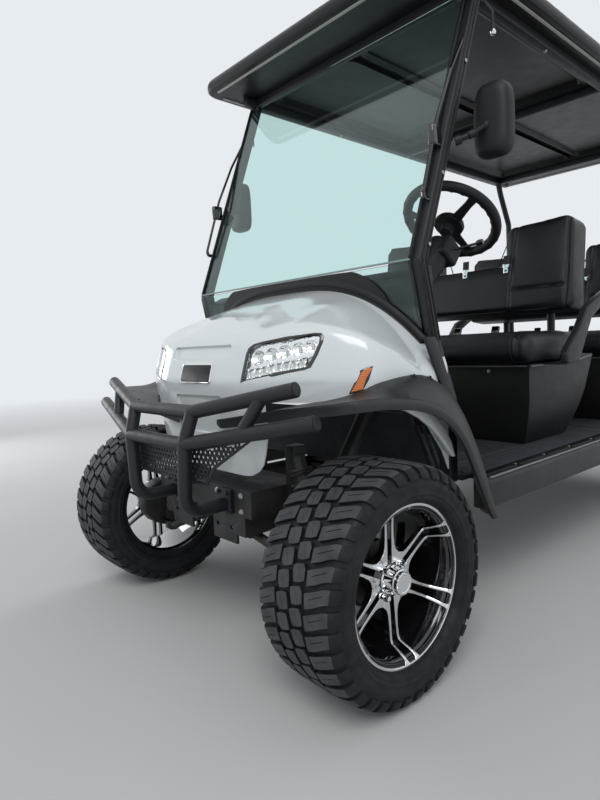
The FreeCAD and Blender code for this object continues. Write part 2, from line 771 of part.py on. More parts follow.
# Seats.
def seat_base():
    """A hollow moulded pod: its front and sides curve in towards the floor."""
    def shell_outline(w):
        low = floor_top - (1 if w else 0)
        return [(pod_front + pod_tuck + w, low), (pod_front + w + 9, pod_top - 190, "arc"), (pod_front + w, pod_top - w),
                (pod_back_y + 20 + w / 2, pod_top - w), (pod_back_y + 48 + w / 2, pod_back_top_z - w),
                (pod_back_y + pod_back_lean - 2 * w, pod_back_top_z - w), (pod_back_y - w, low)]

    def front_outline(w):
        low = floor_top - (1 if w else 0)
        half = [(0, low), (pod_half - pod_tuck - w, low), (pod_half - 9 - w, pod_top - 190, "arc"),
                (pod_half - w, pod_top - 30), (pod_half - w, pod_back_top_z - w), (0, pod_back_top_z - w)]
        return outline_both(half)

    def block(w):
        flats = small_flats if w else 0
        side = side_plate(shell_outline(w), -pod_half, pod_half, flats)
        return side.common(front_plate(front_outline(w), pod_front - 10, pod_back_y + pod_back_lean + 10, flats))

    return block(0).cut(block(pod_wall))


def seat_cushion():
    low, nose = pod_top + soft_gap, cushion_nose
    outline = [(cushion_front + 12, low), (cushion_front, low + 22), (cushion_front, cushion_top - nose),
               (cushion_front + nose * 0.293, cushion_top - nose * 0.293, "arc"), (cushion_front + nose, cushion_top),
               (cushion_rear, cushion_top), (cushion_rear, low)]
    seat = side_plate(outline, -cushion_half, cushion_half)
    half = [(0, low), (cushion_half - 12, low), (cushion_half, low + 24), (cushion_half, cushion_top - 30),
            (cushion_half - 9, cushion_top - 9, "arc"), (cushion_half - 30, cushion_top)]
    return seat.common(front_plate(outline_both(half + [(0, cushion_top)]), cushion_front - 5, cushion_rear + 5, small_flats))


def seat_back():
    half = [(0, back_low), (back_half, back_low), (back_half, back_high - 40), (back_half - 12, back_high - 12, "arc"),
            (back_half - 40, back_high), (back_notch + 55, back_high), (back_notch + 30, back_high - 12, "arc"),
            (back_notch + 22, back_high - 34), (back_notch, back_mid), (0, back_mid)]
    pad = front_plate(outline_both(half), back_front, back_front + back_thick, small_flats)
    pad.rotate(Vector(0, back_front, back_low), Vector(1, 0, 0), -recline)
    return pad


def seat_frame():
    """Uprights behind the backrest, and one hoop that makes the hip restraint at each end of the bench."""
    lean = math.tan(math.radians(recline))
    rear_face = back_front + (back_thick + seat_tube + soft_gap) / math.cos(math.radians(recline))
    rise = 330
    pieces = []
    for x in (-seat_post_x, seat_post_x):
        pieces.append(tube([(x, rear_face, pod_back_top_z), (x, rear_face, back_low), (x, rear_face + rise * lean, back_low + rise)],
                           seat_tube, sides=thin_sides))
    cross_y, cross_z = rear_face + 70 * lean, back_low + 70
    front_y = pod_front + 120
    half = [(pod_half, front_y, 735), (hip_x, front_y, 735), (hip_x, front_y - 35, 820), (hip_x, cross_y, cross_z)]
    hoop = tube(across(half), hip_tube, 28, thin_sides)
    return fuse([hoop] + pieces)


def rows(shape):
    """The same piece on both benches."""
    second = shape.copy()
    second.translate(Vector(0, seat_pitch, 0))
    return [shape, second]


# Rear bodywork.
def rear_body():
    """White tub with wheel arches, joined to the second seat's pod by its side panels."""
    w = cowl_wall
    outer = box(-rear_body_half, rear_body_half, rear_body_front, rear_body_rear, rear_body_low, rear_body_top)
    outer = rounded(outer, 60, lambda e: is_vertical(e) and e.BoundBox.YMin > rear_body_rear - 1)
    inner = box(w - rear_body_half, rear_body_half - w, rear_body_front - 1, rear_body_rear - w, rear_body_low - 30, rear_body_top - w)
    shell = outer.cut(inner)
    second_pod = pod_back_y + pod_back_lean + seat_pitch
    shell = shell.cut(box(-tray_half - 0.5, tray_half + 0.5, rear_body_front - 1, tray_rear + 0.5, 500, 900))
    shell = shell.cut(box(-pod_half - 3, pod_half + 3, rear_body_front - 1, second_pod + 3, 400, 900))
    arch_front, arch_foot = rear_body_front - 184, rear_body_front - 254
    panel = side_plate([(arch_foot, sill_high), (arch_foot, 640), (arch_front, 700), (rear_body_front, rear_body_top),
                        (rear_body_front, sill_high)], sill_in, rear_body_half)
    shell = fuse([shell] + both(panel))
    arch = placed(turned([(300, 0), (300, rear_arch_radius), (800, rear_arch_radius), (800, 0)], 28), (0, wheelbase, tyre_radius))
    for side in both(arch):
        shell = shell.cut(side)
    return shell


def cargo_tray():
    front = pod_back_y + pod_back_lean + seat_pitch + 4
    w = tray_wall
    outer = box(-tray_half, tray_half, front, tray_rear, tray_floor, rear_body_top + 2)
    return outer.cut(box(w - tray_half, tray_half - w, front + w, tray_rear - w, tray_floor + w, rear_body_top + 10))


def tail_lights():
    return both(box(rear_body_half - 115, rear_body_half - 65, rear_body_rear, rear_body_rear + 9, 600, 720))


def rear_bumper():
    back = wheelbase + rear_reach
    front = back - rail_rear_gap
    high = rail_high - 6
    low = tongue_low + 12
    bar = box(-470, 470, rear_body_rear + 4, back, rail_high - 10, rail_high + 60)
    bar = bevelled(bar, 16, lambda e: runs_along_x(e) and e.BoundBox.YMin > rear_body_rear + 20)
    arms = [box(side * rail_x - 20, side * rail_x + 20, front, rear_body_rear + 4, low, high) for side in (-1, 1)]
    cross = box(-rail_x - 20, rail_x + 20, front, front + 12, low, high)
    tongue = box(-45, 45, front, back - 2, tongue_low, low)
    tongue = bevelled(tongue, 18, lambda e: is_vertical(e) and e.BoundBox.YMin > rear_body_rear)
    bumper = fuse([bar, cross, tongue] + arms)
    return bumper.cut(rod((0, tow_hole_y, tongue_low - 10), (0, tow_hole_y, low + 8), tow_hole))


# Roof.
def roof():
    slab = box(-roof_half, roof_half, roof_front, roof_rear, roof_low, roof_high)
    slab = rounded(slab, roof_corner, is_vertical)
    slab = bevelled(slab, roof_edge, lambda e: at_height(e, roof_high))
    well_half = roof_tube_x - roof_rim
    middle = (roof_front + roof_rear) / 2 + 5
    for y0, y1 in ((roof_front + 240, middle - 40), (middle + 70, roof_rear - 270)):
        well = box(-well_half, well_half, y0, y1, roof_low - 20, roof_low + roof_well)
        slab = slab.cut(bevelled(well, roof_corner, is_vertical))
    for side in (-1, 1):
        groove_x = side * (roof_half - 34)
        slab = slab.cut(box(groove_x - 7, groove_x + 7, roof_front + 120, roof_rear - 120, roof_low - 1, roof_low + 8))
    return slab


def roof_frame():
    """Two tubes under the roof that end in the bent rear posts, and the crossbars between them."""
    x, low, half = roof_tube_x, roof_low - roof_tube, roof_tube / 2
    rail = box(x - half, x + half, roof_front + 110, roof_rear - 110, low, roof_low)
    post = tube([(x, rear_post_top_y, low + half), (x, rear_post_top_y + 30, low - 60), (x, rear_post_knee_y, rear_post_knee_z),
                 (x, rear_post_foot_y, rear_body_top + post_seat)], rear_post_radius)
    reach = x - half
    bars = [box(-reach, reach, y, y + roof_tube, low, roof_low)
            for y in (roof_front + 160, roof_front + 1200, rear_post_top_y - half)]
    bars[-1] = bars[-1].cut(fuse(both(post)))
    return both(fuse([rail, post])) + bars


def side_mirrors():
    rise = (glass_top_y - knee_y) / (roof_low - roof_tube - knee_z)
    post_y = knee_y + rise * (mirror_z - knee_z)
    x0, x1, y0, y1 = mirror_in, mirror_out, mirror_y - mirror_thick / 2, mirror_y + mirror_thick / 2
    housing = box(x0, x1, y0, y1, mirror_z - mirror_height / 2, mirror_z + mirror_height / 2)
    housing = bevelled(housing, 22, lambda e: e.BoundBox.YLength > mirror_thick - 1)
    arm = tube([(post_x + post_size / 2, post_y + 26, mirror_z), (x0 + 25, mirror_y, mirror_z)], mirror_arm)
    return both(fuse([housing, arm]).cut(box(post_x - 60, post_x + post_size / 2, 300, 600, mirror_z - 100, mirror_z + 100)))


# Running gear.
def front_suspension():
    """Lower arms, upper links and dampers, each side hung from the beam."""
    low_z, top_z = lower_eye_z + eye_height / 2, upper_eye_z + eye_height / 2
    foot_x = rail_x - 50
    gears = []
    for y in (-80, 80):
        gears.append(tube([(foot_x, y, 335), (kingpin_x - 22, y / 8, low_z)], 13))
        gears.append(box(foot_x - 26, foot_x + 26, y - 16, y + 16, bracket_low, rail_low))
    gears.append(tube([(kingpin_x, 0, lower_eye_z), (kingpin_x, 0, lower_eye_z + eye_height)], kingpin_radius + 11))
    gears.append(tube([(kingpin_x, 0, upper_eye_z), (kingpin_x, 0, upper_eye_z + eye_height)], kingpin_radius + 9))
    gears.append(tube([(beam_half + 14, 0, 438), (kingpin_x - 20, 0, top_z)], 12))
    gears.append(box(beam_half, beam_half + 36, -22, 22, beam_low + 18, beam_high + 112))
    gears.append(tube([(352, 0, 268), (beam_half + 26, 0, beam_high + 82)], 22))
    gears.append(box(334, 372, -36, 36, 240, 266))
    bore = rod((kingpin_x, 0, lower_eye_z - 60), (kingpin_x, 0, upper_eye_z + 60), kingpin_radius + running_fit)
    return both(fuse(gears).cut(bore))


def hub_back():
    """The back of the wheel's hub, from the cart's centreline."""
    return half_track + rim_width / 2 - hub_depth - hub_thick


def knuckle(side):
    x, z, back = side * kingpin_x, tyre_radius, hub_back()
    pieces = [rod((x, 0, lower_eye_z - 8), (x, 0, upper_eye_z + eye_height + 8), kingpin_radius)]
    pieces.append(box(x - 22, x + 22, -30, 30, lower_eye_z + eye_height + knuckle_rise, upper_eye_z - 6))
    drum = back - drum_gap - kingpin_x
    pieces.append(placed(turned([(0, 0), (0, 30), (35, 30), (35, drum_radius), (drum, drum_radius), (drum, 0)], 14), (x, 0, z), side))
    pieces.append(rod((x, 0, z), (side * (back + spindle_depth), 0, z), spindle_radius))
    pieces.append(box(x - 13, x + 13, 0, steer_arm + 14, tie_rod_z - 24, tie_rod_z - 12))
    pieces.append(rod((x, steer_arm, tie_rod_z - 13), (x, steer_arm, tie_rod_z + 14), tie_pin_radius))
    return fuse(pieces)


def tie_rod():
    pieces = [tube([(kingpin_x, steer_arm, tie_rod_z), (-kingpin_x, steer_arm, tie_rod_z)], tie_rod_radius, sides=thin_sides)]
    for x in (-kingpin_x, kingpin_x):
        pieces.append(tube([(x, steer_arm, tie_rod_z - 11), (x, steer_arm, tie_rod_z + 11)], 14))
    link = fuse(pieces)
    for x, fit in ((kingpin_x, running_fit), (-kingpin_x, open_eye_fit)):
        link = link.cut(rod((x, steer_arm, tie_rod_z - 40), (x, steer_arm, tie_rod_z + 40), tie_pin_radius + fit))
    return link


spring_half = 242.0
spring_x = 252.0
spring_wide = 20.0


def rear_axle():
    """Axle tube with drums, differential, motor and leaf springs."""
    y, z, back = wheelbase, tyre_radius, hub_back()
    half = [(back - drum_gap, 0), (back - drum_gap, drum_radius), (back - 64, drum_radius), (back - 64, 34), (118, 34), (92, 88), (48, 106)]
    pieces = [placed(turned(half + [(-o, r) for o, r in reversed(half)], 14), (0, y, z))]
    for side in (-1, 1):
        pieces.append(rod((side * (back - 60), y, z), (side * (back + spindle_depth), y, z), spindle_radius))
        leaf = [(-spring_half, 74), (-spring_half, 88), (-84, 44), (86, 44), (spring_half, 88), (spring_half, 74), (86, 26), (-84, 26)]
        x0 = side * spring_x - spring_wide
        pieces.append(side_plate([(y + dy, z + dz) for dy, dz in leaf], x0, x0 + 2 * spring_wide))
        inner, outer = sorted((side * (rail_x + rail_width / 2), side * (spring_x + spring_wide)))
        for end in (-spring_half, spring_half):
            pieces.append(box(inner, outer, y + end - 16, y + end + 16, z + 70, z + 112))
    pieces.append(tube([(60, y - 20, z - 34), (225, y - 20, z - 34)], 76, sides=10))
    return fuse(pieces)


def power_pack():
    """The batteries under the front bench."""
    half = pod_half - pod_tuck - pack_clearance
    return box(-half, half, pod_front + pod_tuck + pack_clearance, pod_back_y - pack_clearance - 20, floor_top, pod_top - 60)


def main():
    os.makedirs("parts", exist_ok=True)
    tyre_shape, rim_shape = tyre(), rim()
    wheels = {"front_left": (1, 0), "front_right": (-1, 0), "rear_left": (1, wheelbase), "rear_right": (-1, wheelbase)}
    for name, (side, y) in wheels.items():
        centre = (side * half_track, y, tyre_radius)
        write("tyre_" + name, placed(tyre_shape, centre, side))
        write("rim_" + name, placed(rim_shape, centre, side))
    pieces = {"frame": frame, "floor_pan": floor, "side_sills": sills, "front_cowl": cowl, "headlights": headlights,
              "marker_lights": marker_lights, "nose_badge": nose_badge, "windshield_trim": windshield_trim,
              "windshield_lower": windshield_lower, "windshield_upper": windshield_upper,
              "windshield_posts": windshield_posts, "dashboard": dashboard, "steering_column": steering_column,
              "steering_wheel": steering_wheel, "pedals": pedals, "brush_guard": brush_guard, "guard_mesh": guard_mesh,
              "front_flares": front_flares, "rear_flares": rear_flares, "rear_body": rear_body,
              "cargo_tray": cargo_tray, "tail_lights": tail_lights, "rear_bumper": rear_bumper, "roof": roof,
              "roof_frame": roof_frame, "side_mirrors": side_mirrors, "front_suspension": front_suspension,
              "tie_rod": tie_rod, "rear_axle": rear_axle, "power_pack": power_pack}
    for name, make in pieces.items():
        write(name, make())
    for name, side in (("left", 1), ("right", -1)):
        write("knuckle_" + name, knuckle(side))
    for name, make in {"bases": seat_base, "cushions": seat_cushion, "backs": seat_back, "frames": seat_frame}.items():
        write("seat_" + name, rows(make()))


main()
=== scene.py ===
"""The looks of a lifted golf cart with two bench seats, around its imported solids.

Metres, +Z up, the cart faces -Y and its left side is +X. Places are given as on the drawing of the
cart, with y = 0 at the front axle, and moved by AXLE_Y when a piece is finished."""

import math

import bmesh
import bpy
import numpy as np
from mathutils import Matrix, Vector


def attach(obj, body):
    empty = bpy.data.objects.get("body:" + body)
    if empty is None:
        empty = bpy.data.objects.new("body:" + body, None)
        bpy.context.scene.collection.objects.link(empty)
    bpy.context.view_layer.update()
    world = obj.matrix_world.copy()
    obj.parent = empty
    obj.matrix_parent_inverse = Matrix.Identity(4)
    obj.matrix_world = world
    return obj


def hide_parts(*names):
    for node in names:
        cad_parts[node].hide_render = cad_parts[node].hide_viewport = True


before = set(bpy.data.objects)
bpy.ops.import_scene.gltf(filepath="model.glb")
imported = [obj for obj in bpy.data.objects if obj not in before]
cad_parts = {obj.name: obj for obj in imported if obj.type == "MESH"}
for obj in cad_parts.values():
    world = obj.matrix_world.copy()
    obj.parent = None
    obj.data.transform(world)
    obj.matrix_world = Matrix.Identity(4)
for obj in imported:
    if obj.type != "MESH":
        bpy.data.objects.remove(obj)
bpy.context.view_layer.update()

AXLE_Y = -1.3
WHEELBASE = 2.504
HALF_TRACK = 0.559
TYRE_RADIUS = 0.292


# Materials.
class Value:
    """A socket of one material's tree, on which arithmetic adds Math nodes."""

    def __init__(self, paint, socket):
        self.paint = paint
        self.socket = socket

    def _math(self, operation, first, second, clamp=False):
        return self.paint.node("ShaderNodeMath", dict(operation=operation, use_clamp=clamp),
                               {0: first, 1: second})[0]

    def __add__(self, other):
        return self._math("ADD", self, other)

    def __radd__(self, other):
        return self._math("ADD", other, self)

    def __sub__(self, other):
        return self._math("SUBTRACT", self, other)

    def __mul__(self, other):
        return self._math("MULTIPLY", self, other)

    def __rmul__(self, other):
        return self._math("MULTIPLY", other, self)

    def __truediv__(self, other):
        return self._math("DIVIDE", self, other)

    def apply(self, operation, other=0.0):
        return self._math(operation, self, other)

    def clamped(self):
        return self._math("ADD", self, 0.0, clamp=True)


class Paint:
    """A material whose principled shader is set by plain values and by Value links."""

    def __init__(self, name, color=(0.5, 0.5, 0.5), rough=0.5, metal=0.0, **sockets):
        self.material = bpy.data.materials.new(name)
        self.material.use_nodes = True
        self.tree = self.material.node_tree
        self.shader = self.tree.nodes["Principled BSDF"]
        self.set("Base Color", color)
        self.set("Roughness", rough)
        self.set("Metallic", metal)
        for label, value in sockets.items():
            self.set(label.replace("_", " "), value)

    def set(self, label, value):
        self._feed(self.shader.inputs[label], value)

    def _feed(self, socket, value):
        if isinstance(value, Value):
            self.tree.links.new(value.socket, socket)
        elif isinstance(value, tuple) and len(value) == 3 and socket.type == "RGBA":
            socket.default_value = (*value, 1.0)
        else:
            socket.default_value = value

    def node(self, kind, settings, inputs):
        node = self.tree.nodes.new(kind)
        stops = settings.pop("stops", None)
        for label, value in settings.items():
            setattr(node, label, value)
        if stops:
            ramp = node.color_ramp
            while len(ramp.elements) < len(stops):
                ramp.elements.new(0.5)
            for element, (place, shade) in zip(ramp.elements, stops):
                element.position = place
                element.color = (shade, shade, shade, 1) if isinstance(shade, float) else (*shade, 1)
        for label, value in inputs.items():
            self._feed(node.inputs[label], value)
        return [Value(self, output) for output in node.outputs]

    def place(self, scale=(1, 1, 1), turn=(0, 0, 0)):
        """The point on the piece, in metres, turned and scaled."""
        point = self.node("ShaderNodeTexCoord", {}, {})[3]
        return self.node("ShaderNodeMapping", {}, {"Vector": point, "Scale": scale, "Rotation": turn})[0]

    def axes(self, vector):
        return self.node("ShaderNodeSeparateXYZ", {}, {"Vector": vector})

    def noise(self, scale, detail=3.0, rough=0.5, where=None):
        where = where or self.place()
        return self.node("ShaderNodeTexNoise", {},
                         {"Vector": where, "Scale": scale, "Detail": detail, "Roughness": rough})[0]

    def cells(self, scale, feature="F1", where=None, output=0):
        where = where or self.place()
        return self.node("ShaderNodeTexVoronoi", dict(feature=feature),
                         {"Vector": where, "Scale": scale})[output]

    def ramp(self, value, *stops):
        return self.node("ShaderNodeValToRGB", {"stops": stops}, {"Fac": value})[0]

    def mix(self, factor, first, second):
        return self.node("ShaderNodeMix", dict(data_type="RGBA"), {0: factor, 6: first, 7: second})[2]

    def bump(self, height, strength=0.3, distance=0.001):
        inputs = {"Height": height, "Strength": strength, "Distance": distance}
        self.set("Normal", self.node("ShaderNodeBump", {}, inputs)[0])

    def tint(self, factor, first, second):
        self.set("Base Color", self.mix(factor, first, second))

    def wear(self, scale, detail, *stops):
        """Roughness that follows a noise."""
        self.set("Roughness", self.ramp(self.noise(scale, detail), *stops))


def painted_white():
    p = Paint("body_white", rough=0.16, Coat_Weight=0.7, Coat_Roughness=0.05)
    film = p.noise(1.8, 2.0)
    p.tint(film, (0.755, 0.8, 0.81), (0.8, 0.84, 0.845))
    p.bump(p.noise(260, 1.0), 0.05, 0.0004)
    return p.material


def moulded_black(name, shade, rough, grain, depth):
    """Black moulded plastic with a fine grain and a little dust on it."""
    p = Paint(name, Specular_IOR_Level=0.35)
    dust = p.ramp(p.noise(6, 4.0, 0.6), (0.35, 0.0), (0.8, 1.0))
    dark = (shade, shade, shade * 1.08)
    pale = (shade * 1.7, shade * 1.7, shade * 1.75)
    p.tint(dust, dark, pale)
    p.wear(22, 3.0, (0.2, rough - 0.05), (0.8, rough + 0.07))
    p.bump(p.cells(grain) + p.noise(grain * 1.7, 2.0), depth, 0.0006)
    return p.material


def powder_coat():
    p = Paint("powder_coat", color=(0.014, 0.015, 0.019), Specular_IOR_Level=0.4)
    p.wear(35, 3.0, (0.3, 0.4), (0.7, 0.52))
    p.bump(p.noise(900, 2.0), 0.25, 0.0005)
    return p.material


def tyre_rubber():
    p = Paint("tyre_rubber", Specular_IOR_Level=0.35)
    dusty = p.ramp(p.noise(14, 5.0, 0.65), (0.38, 0.0), (0.72, 1.0))
    p.tint(dusty, (0.006, 0.0065, 0.008), (0.018, 0.0185, 0.021))
    p.wear(40, 3.0, (0.3, 0.55), (0.7, 0.8))
    p.bump(p.noise(420, 3.0), 0.35, 0.0006)
    return p.material


def tread_face():
    """The worn paler grey on top of the lugs."""
    p = Paint("tread_face")
    scuff = p.ramp(p.noise(30, 5.0, 0.65), (0.32, 0.0), (0.72, 1.0))
    p.tint(scuff, (0.028, 0.029, 0.032), (0.075, 0.077, 0.082))
    p.wear(60, 3.0, (0.3, 0.62), (0.7, 0.8))
    p.bump(p.noise(520, 3.0), 0.5, 0.0008)
    return p.material


def gloss_black():
    p = Paint("gloss_black", color=(0.006, 0.006, 0.007), Coat_Weight=1.0, Coat_Roughness=0.02)
    p.wear(25, 3.0, (0.3, 0.05), (0.8, 0.11))
    p.bump(p.noise(180, 1.0), 0.03, 0.0003)
    return p.material


def machined():
    """Alloy turned on a lathe, with a clear coat."""
    p = Paint("machined_alloy", metal=1.0, Coat_Weight=0.4, Coat_Roughness=0.08)
    p.tint(p.noise(9, 3.0), (0.66, 0.665, 0.68), (0.82, 0.825, 0.835))
    p.wear(50, 2.0, (0.3, 0.16), (0.7, 0.26))
    rings = p.noise(2600, 1.0, where=p.place((1.0, 0.02, 0.02)))
    p.bump(rings, 0.12, 0.0002)
    return p.material


def chrome():
    p = Paint("chrome", color=(0.86, 0.87, 0.88), metal=1.0)
    p.wear(40, 2.0, (0.3, 0.03), (0.8, 0.09))
    p.bump(p.noise(90, 1.0), 0.02, 0.0003)
    return p.material


def brushed_steel():
    p = Paint("steel", color=(0.42, 0.42, 0.43), metal=1.0)
    p.wear(60, 4.0, (0.3, 0.3), (0.8, 0.5))
    p.bump(p.noise(700, 2.0, where=p.place((1, 8, 8))), 0.15, 0.0003)
    return p.material


def chassis_paint():
    p = Paint("chassis_paint")
    grime = p.ramp(p.noise(9, 5.0, 0.6), (0.4, 0.0), (0.75, 1.0))
    p.tint(grime, (0.012, 0.012, 0.013), (0.04, 0.038, 0.036))
    p.wear(30, 3.0, (0.3, 0.42), (0.8, 0.6))
    p.bump(p.noise(300, 3.0), 0.25, 0.0006)
    return p.material


def vinyl():
    """Black seat vinyl: fine pebbled grain with a few soft creases."""
    p = Paint("seat_vinyl", color=(0.0055, 0.006, 0.008), Specular_IOR_Level=0.4)
    p.wear(18, 3.0, (0.3, 0.34), (0.75, 0.46))
    pebbles = p.cells(620, "DISTANCE_TO_EDGE").clamped()
    creases = p.noise(26, 4.0, 0.6)
    p.bump(pebbles * 1.4 + creases * 1.2, 0.4, 0.0012)
    return p.material


def mat_rubber():
    p = Paint("mat_rubber")
    worn = p.ramp(p.noise(7, 5.0, 0.6), (0.35, 0.0), (0.8, 1.0))
    p.tint(worn, (0.016, 0.018, 0.023), (0.04, 0.045, 0.056))
    p.wear(35, 3.0, (0.3, 0.6), (0.7, 0.78))
    p.bump(p.noise(500, 3.0), 0.4, 0.0006)
    return p.material


def pane():
    p = Paint("tinted_pane", color=(0.66, 0.88, 0.84), rough=0.0, Transmission_Weight=1.0, IOR=1.45)
    p.wear(6, 2.0, (0.3, 0.0), (0.9, 0.004))
    return p.material


def lens(name, color, rough=0.04, transmission=1.0):
    p = Paint(name, color=color, Transmission_Weight=transmission, IOR=1.3)
    p.wear(12, 2.0, (0.3, rough), (0.9, rough + 0.03))
    return p.material


def coloured_lens(name, dark, bright):
    p = Paint(name, rough=0.12, Coat_Weight=1.0, Coat_Roughness=0.03)
    ribs = p.node("ShaderNodeTexWave", dict(bands_direction="Z"),
                  {"Vector": p.place(), "Scale": 60.0, "Distortion": 0.0})[1]
    p.tint(ribs, dark, bright)
    p.bump(ribs, 0.35, 0.001)
    return p.material


def strap():
    p = Paint("strap_black", color=(0.02, 0.02, 0.022), rough=0.7)
    weave = p.node("ShaderNodeTexWave", dict(bands_direction="DIAGONAL"),
                   {"Vector": p.place(), "Scale": 260.0, "Distortion": 0.5})[1]
    p.bump(weave, 0.4, 0.0006)
    return p.material


WHITE = painted_white()
FLARE = moulded_black("flare_black", 0.026, 0.42, 520, 0.14)
DASH = moulded_black("dash_black", 0.009, 0.5, 420, 0.25)
SHELL = moulded_black("shell_black", 0.006, 0.42, 380, 0.2)
ROOF = moulded_black("roof_black", 0.006, 0.36, 300, 0.05)
COAT = powder_coat()
RUBBER = tyre_rubber()
TREAD = tread_face()
GLOSS = gloss_black()
MACHINED = machined()
CHROME = chrome()
STEEL = brushed_steel()
CHASSIS = chassis_paint()
VINYL = vinyl()
MAT = mat_rubber()
PANE = pane()
CLEAR = lens("clear_lens", (0.97, 0.98, 0.98), 0.0)
AMBER = coloured_lens("amber_lens", (0.62, 0.12, 0.01), (0.9, 0.24, 0.02))
RED = coloured_lens("red_lens", (0.3, 0.006, 0.008), (0.6, 0.015, 0.02))
STRAP = strap()


# Making and finishing meshes.
def add(operator, **options):
    """Runs a primitive operator with nothing else selected, and returns the new object."""
    bpy.ops.object.select_all(action="DESELECT")
    operator(**options)
    return bpy.context.object


def only(obj):
    bpy.ops.object.select_all(action="DESELECT")
    obj.select_set(True)
    bpy.context.view_layer.objects.active = obj


def modify(obj, kind, **settings):
    """Adds one modifier and applies it."""
    only(obj)
    modifier = obj.modifiers.new(kind.lower(), kind)
    for label, value in settings.items():
        setattr(modifier, label, value)
    bpy.ops.object.modifier_apply(modifier=modifier.name)
    return obj


def points_of(obj):
    flat = np.empty(len(obj.data.vertices) * 3)
    obj.data.vertices.foreach_get("co", flat)
    return flat.reshape(-1, 3)


def put_points(obj, points):
    obj.data.vertices.foreach_set("co", np.asarray(points, float).ravel())
    obj.data.update()


def held(value):
    """A field held between 0 and 1."""
    return np.clip(value, 0, 1)


def outward(obj, threshold=1e-6):
    """Merges points that lie together, and turns the faces to the outer side."""
    only(obj)
    bpy.ops.object.mode_set(mode="EDIT")
    bpy.ops.mesh.select_all(action="SELECT")
    bpy.ops.mesh.remove_doubles(threshold=threshold)
    bpy.ops.mesh.normals_make_consistent(inside=False)
    bpy.ops.object.mode_set(mode="OBJECT")
    return obj


def smooth(obj, angle=35):
    only(obj)
    bpy.ops.object.shade_smooth_by_angle(angle=math.radians(angle))
    return obj


def join(objects, name):
    bpy.ops.object.select_all(action="DESELECT")
    for obj in objects:
        obj.select_set(True)
    bpy.context.view_layer.objects.active = objects[0]
    if len(objects) > 1:
        bpy.ops.object.join()
    objects[0].name = name
    return objects[0]


def copy_of(obj, matrix=None):
    twin = obj.copy()
    twin.data = obj.data.copy()
    bpy.context.collection.objects.link(twin)
    if matrix is not None:
        twin.data.transform(matrix)
        if matrix.determinant() < 0:
            twin.data.flip_normals()
    return twin


def mirrored(obj):
    return copy_of(obj, Matrix.Scale(-1, 4, (1, 0, 0)))


def paint(obj, material):
    obj.data.materials.clear()
    obj.data.materials.append(material)
    return obj


def block(x0, x1, y0, y1, z0, z1, bevel=0.0, segments=3, material=None):
    """A box between two corners, its edges rounded."""
    obj = add(bpy.ops.mesh.primitive_cube_add, size=1)
    middle = [(x0 + x1) / 2, (y0 + y1) / 2, (z0 + z1) / 2]
    put_points(obj, points_of(obj) * [x1 - x0, y1 - y0, z1 - z0] + middle)
    if bevel:
        modify(obj, "BEVEL", width=bevel, segments=segments, limit_method="NONE")
    return paint(obj, material) if material else obj


def sheet_of(columns, rows, shape):
    """A grid whose points go where shape(u, v) says, with u and v from 0 to 1."""
    obj = add(bpy.ops.mesh.primitive_grid_add, x_subdivisions=columns, y_subdivisions=rows, size=1)
    grid = points_of(obj)
    put_points(obj, [shape(u + 0.5, v + 0.5) for u, v, _ in grid])
    return obj


def plate(outline, depth, axis, start, bevel=0.0, segments=2, material=None):
    """An outline extruded along axis from start; its points are the other two coordinates."""
    obj = add(bpy.ops.mesh.primitive_circle_add, vertices=len(outline), fill_type="NGON")
    others = [i for i in range(3) if i != axis]
    flat = np.zeros((len(outline), 3))
    flat[:, others] = outline
    flat[:, axis] = start
    put_points(obj, flat)
    only(obj)
    bpy.ops.object.mode_set(mode="EDIT")
    bpy.ops.mesh.select_all(action="SELECT")
    shift = [0, 0, 0]
    shift[axis] = depth
    bpy.ops.mesh.extrude_region_move(TRANSFORM_OT_translate={"value": shift})
    bpy.ops.object.mode_set(mode="OBJECT")
    outward(obj)
    if bevel:
        modify(obj, "BEVEL", width=bevel, segments=segments, limit_method="ANGLE",
               angle_limit=math.radians(30))
    return paint(obj, material) if material else obj


def spun(profile, steps=96, centre=(0, 0, 0), direction=(1, 0, 0), material=None):
    """A profile of (along, radius) points turned about an axis through centre."""
    obj = add(bpy.ops.mesh.primitive_circle_add, vertices=len(profile), fill_type="NOTHING")
    put_points(obj, [(a, 0.0, r) for a, r in profile])
    only(obj)
    bpy.ops.object.mode_set(mode="EDIT")
    bpy.ops.mesh.select_all(action="SELECT")
    bpy.ops.mesh.spin(steps=steps, angle=2 * math.pi, center=(0, 0, 0), axis=(1, 0, 0))
    bpy.ops.object.mode_set(mode="OBJECT")
    outward(obj, 1e-5)
    turn = Vector((1, 0, 0)).rotation_difference(Vector(direction)).to_matrix().to_4x4()
    obj.data.transform(Matrix.Translation(centre) @ turn)
    return paint(obj, material) if material else obj


def rod(start, end, radius, sides=24, bevel=0.0, material=None):
    a, b = Vector(start), Vector(end)
    obj = add(bpy.ops.mesh.primitive_cylinder_add, vertices=sides, radius=radius, depth=(b - a).length)
    if bevel:
        modify(obj, "BEVEL", width=bevel, segments=3, limit_method="ANGLE")
    turn = Vector((0, 0, 1)).rotation_difference(b - a).to_matrix().to_4x4()
    obj.data.transform(Matrix.Translation((a + b) / 2) @ turn)
    return paint(obj, material) if material else obj


def swept(line, radius, material=None, closed=False, detail=1):
    """A round tube along a line of points."""
    data = bpy.data.curves.new("tube", "CURVE")
    data.dimensions = "3D"
    spline = data.splines.new("POLY")
    spline.points.add(len(line) - 1)
    for point, place in zip(spline.points, line):
        point.co = (*place, 1)
    spline.use_cyclic_u = closed
    data.bevel_depth = radius
    data.bevel_resolution = detail
    data.use_fill_caps = not closed
    obj = bpy.data.objects.new("tube", data)
    bpy.context.collection.objects.link(obj)
    only(obj)
    bpy.ops.object.convert(target="MESH")
    obj = outward(bpy.context.object)
    return paint(obj, material) if material else obj


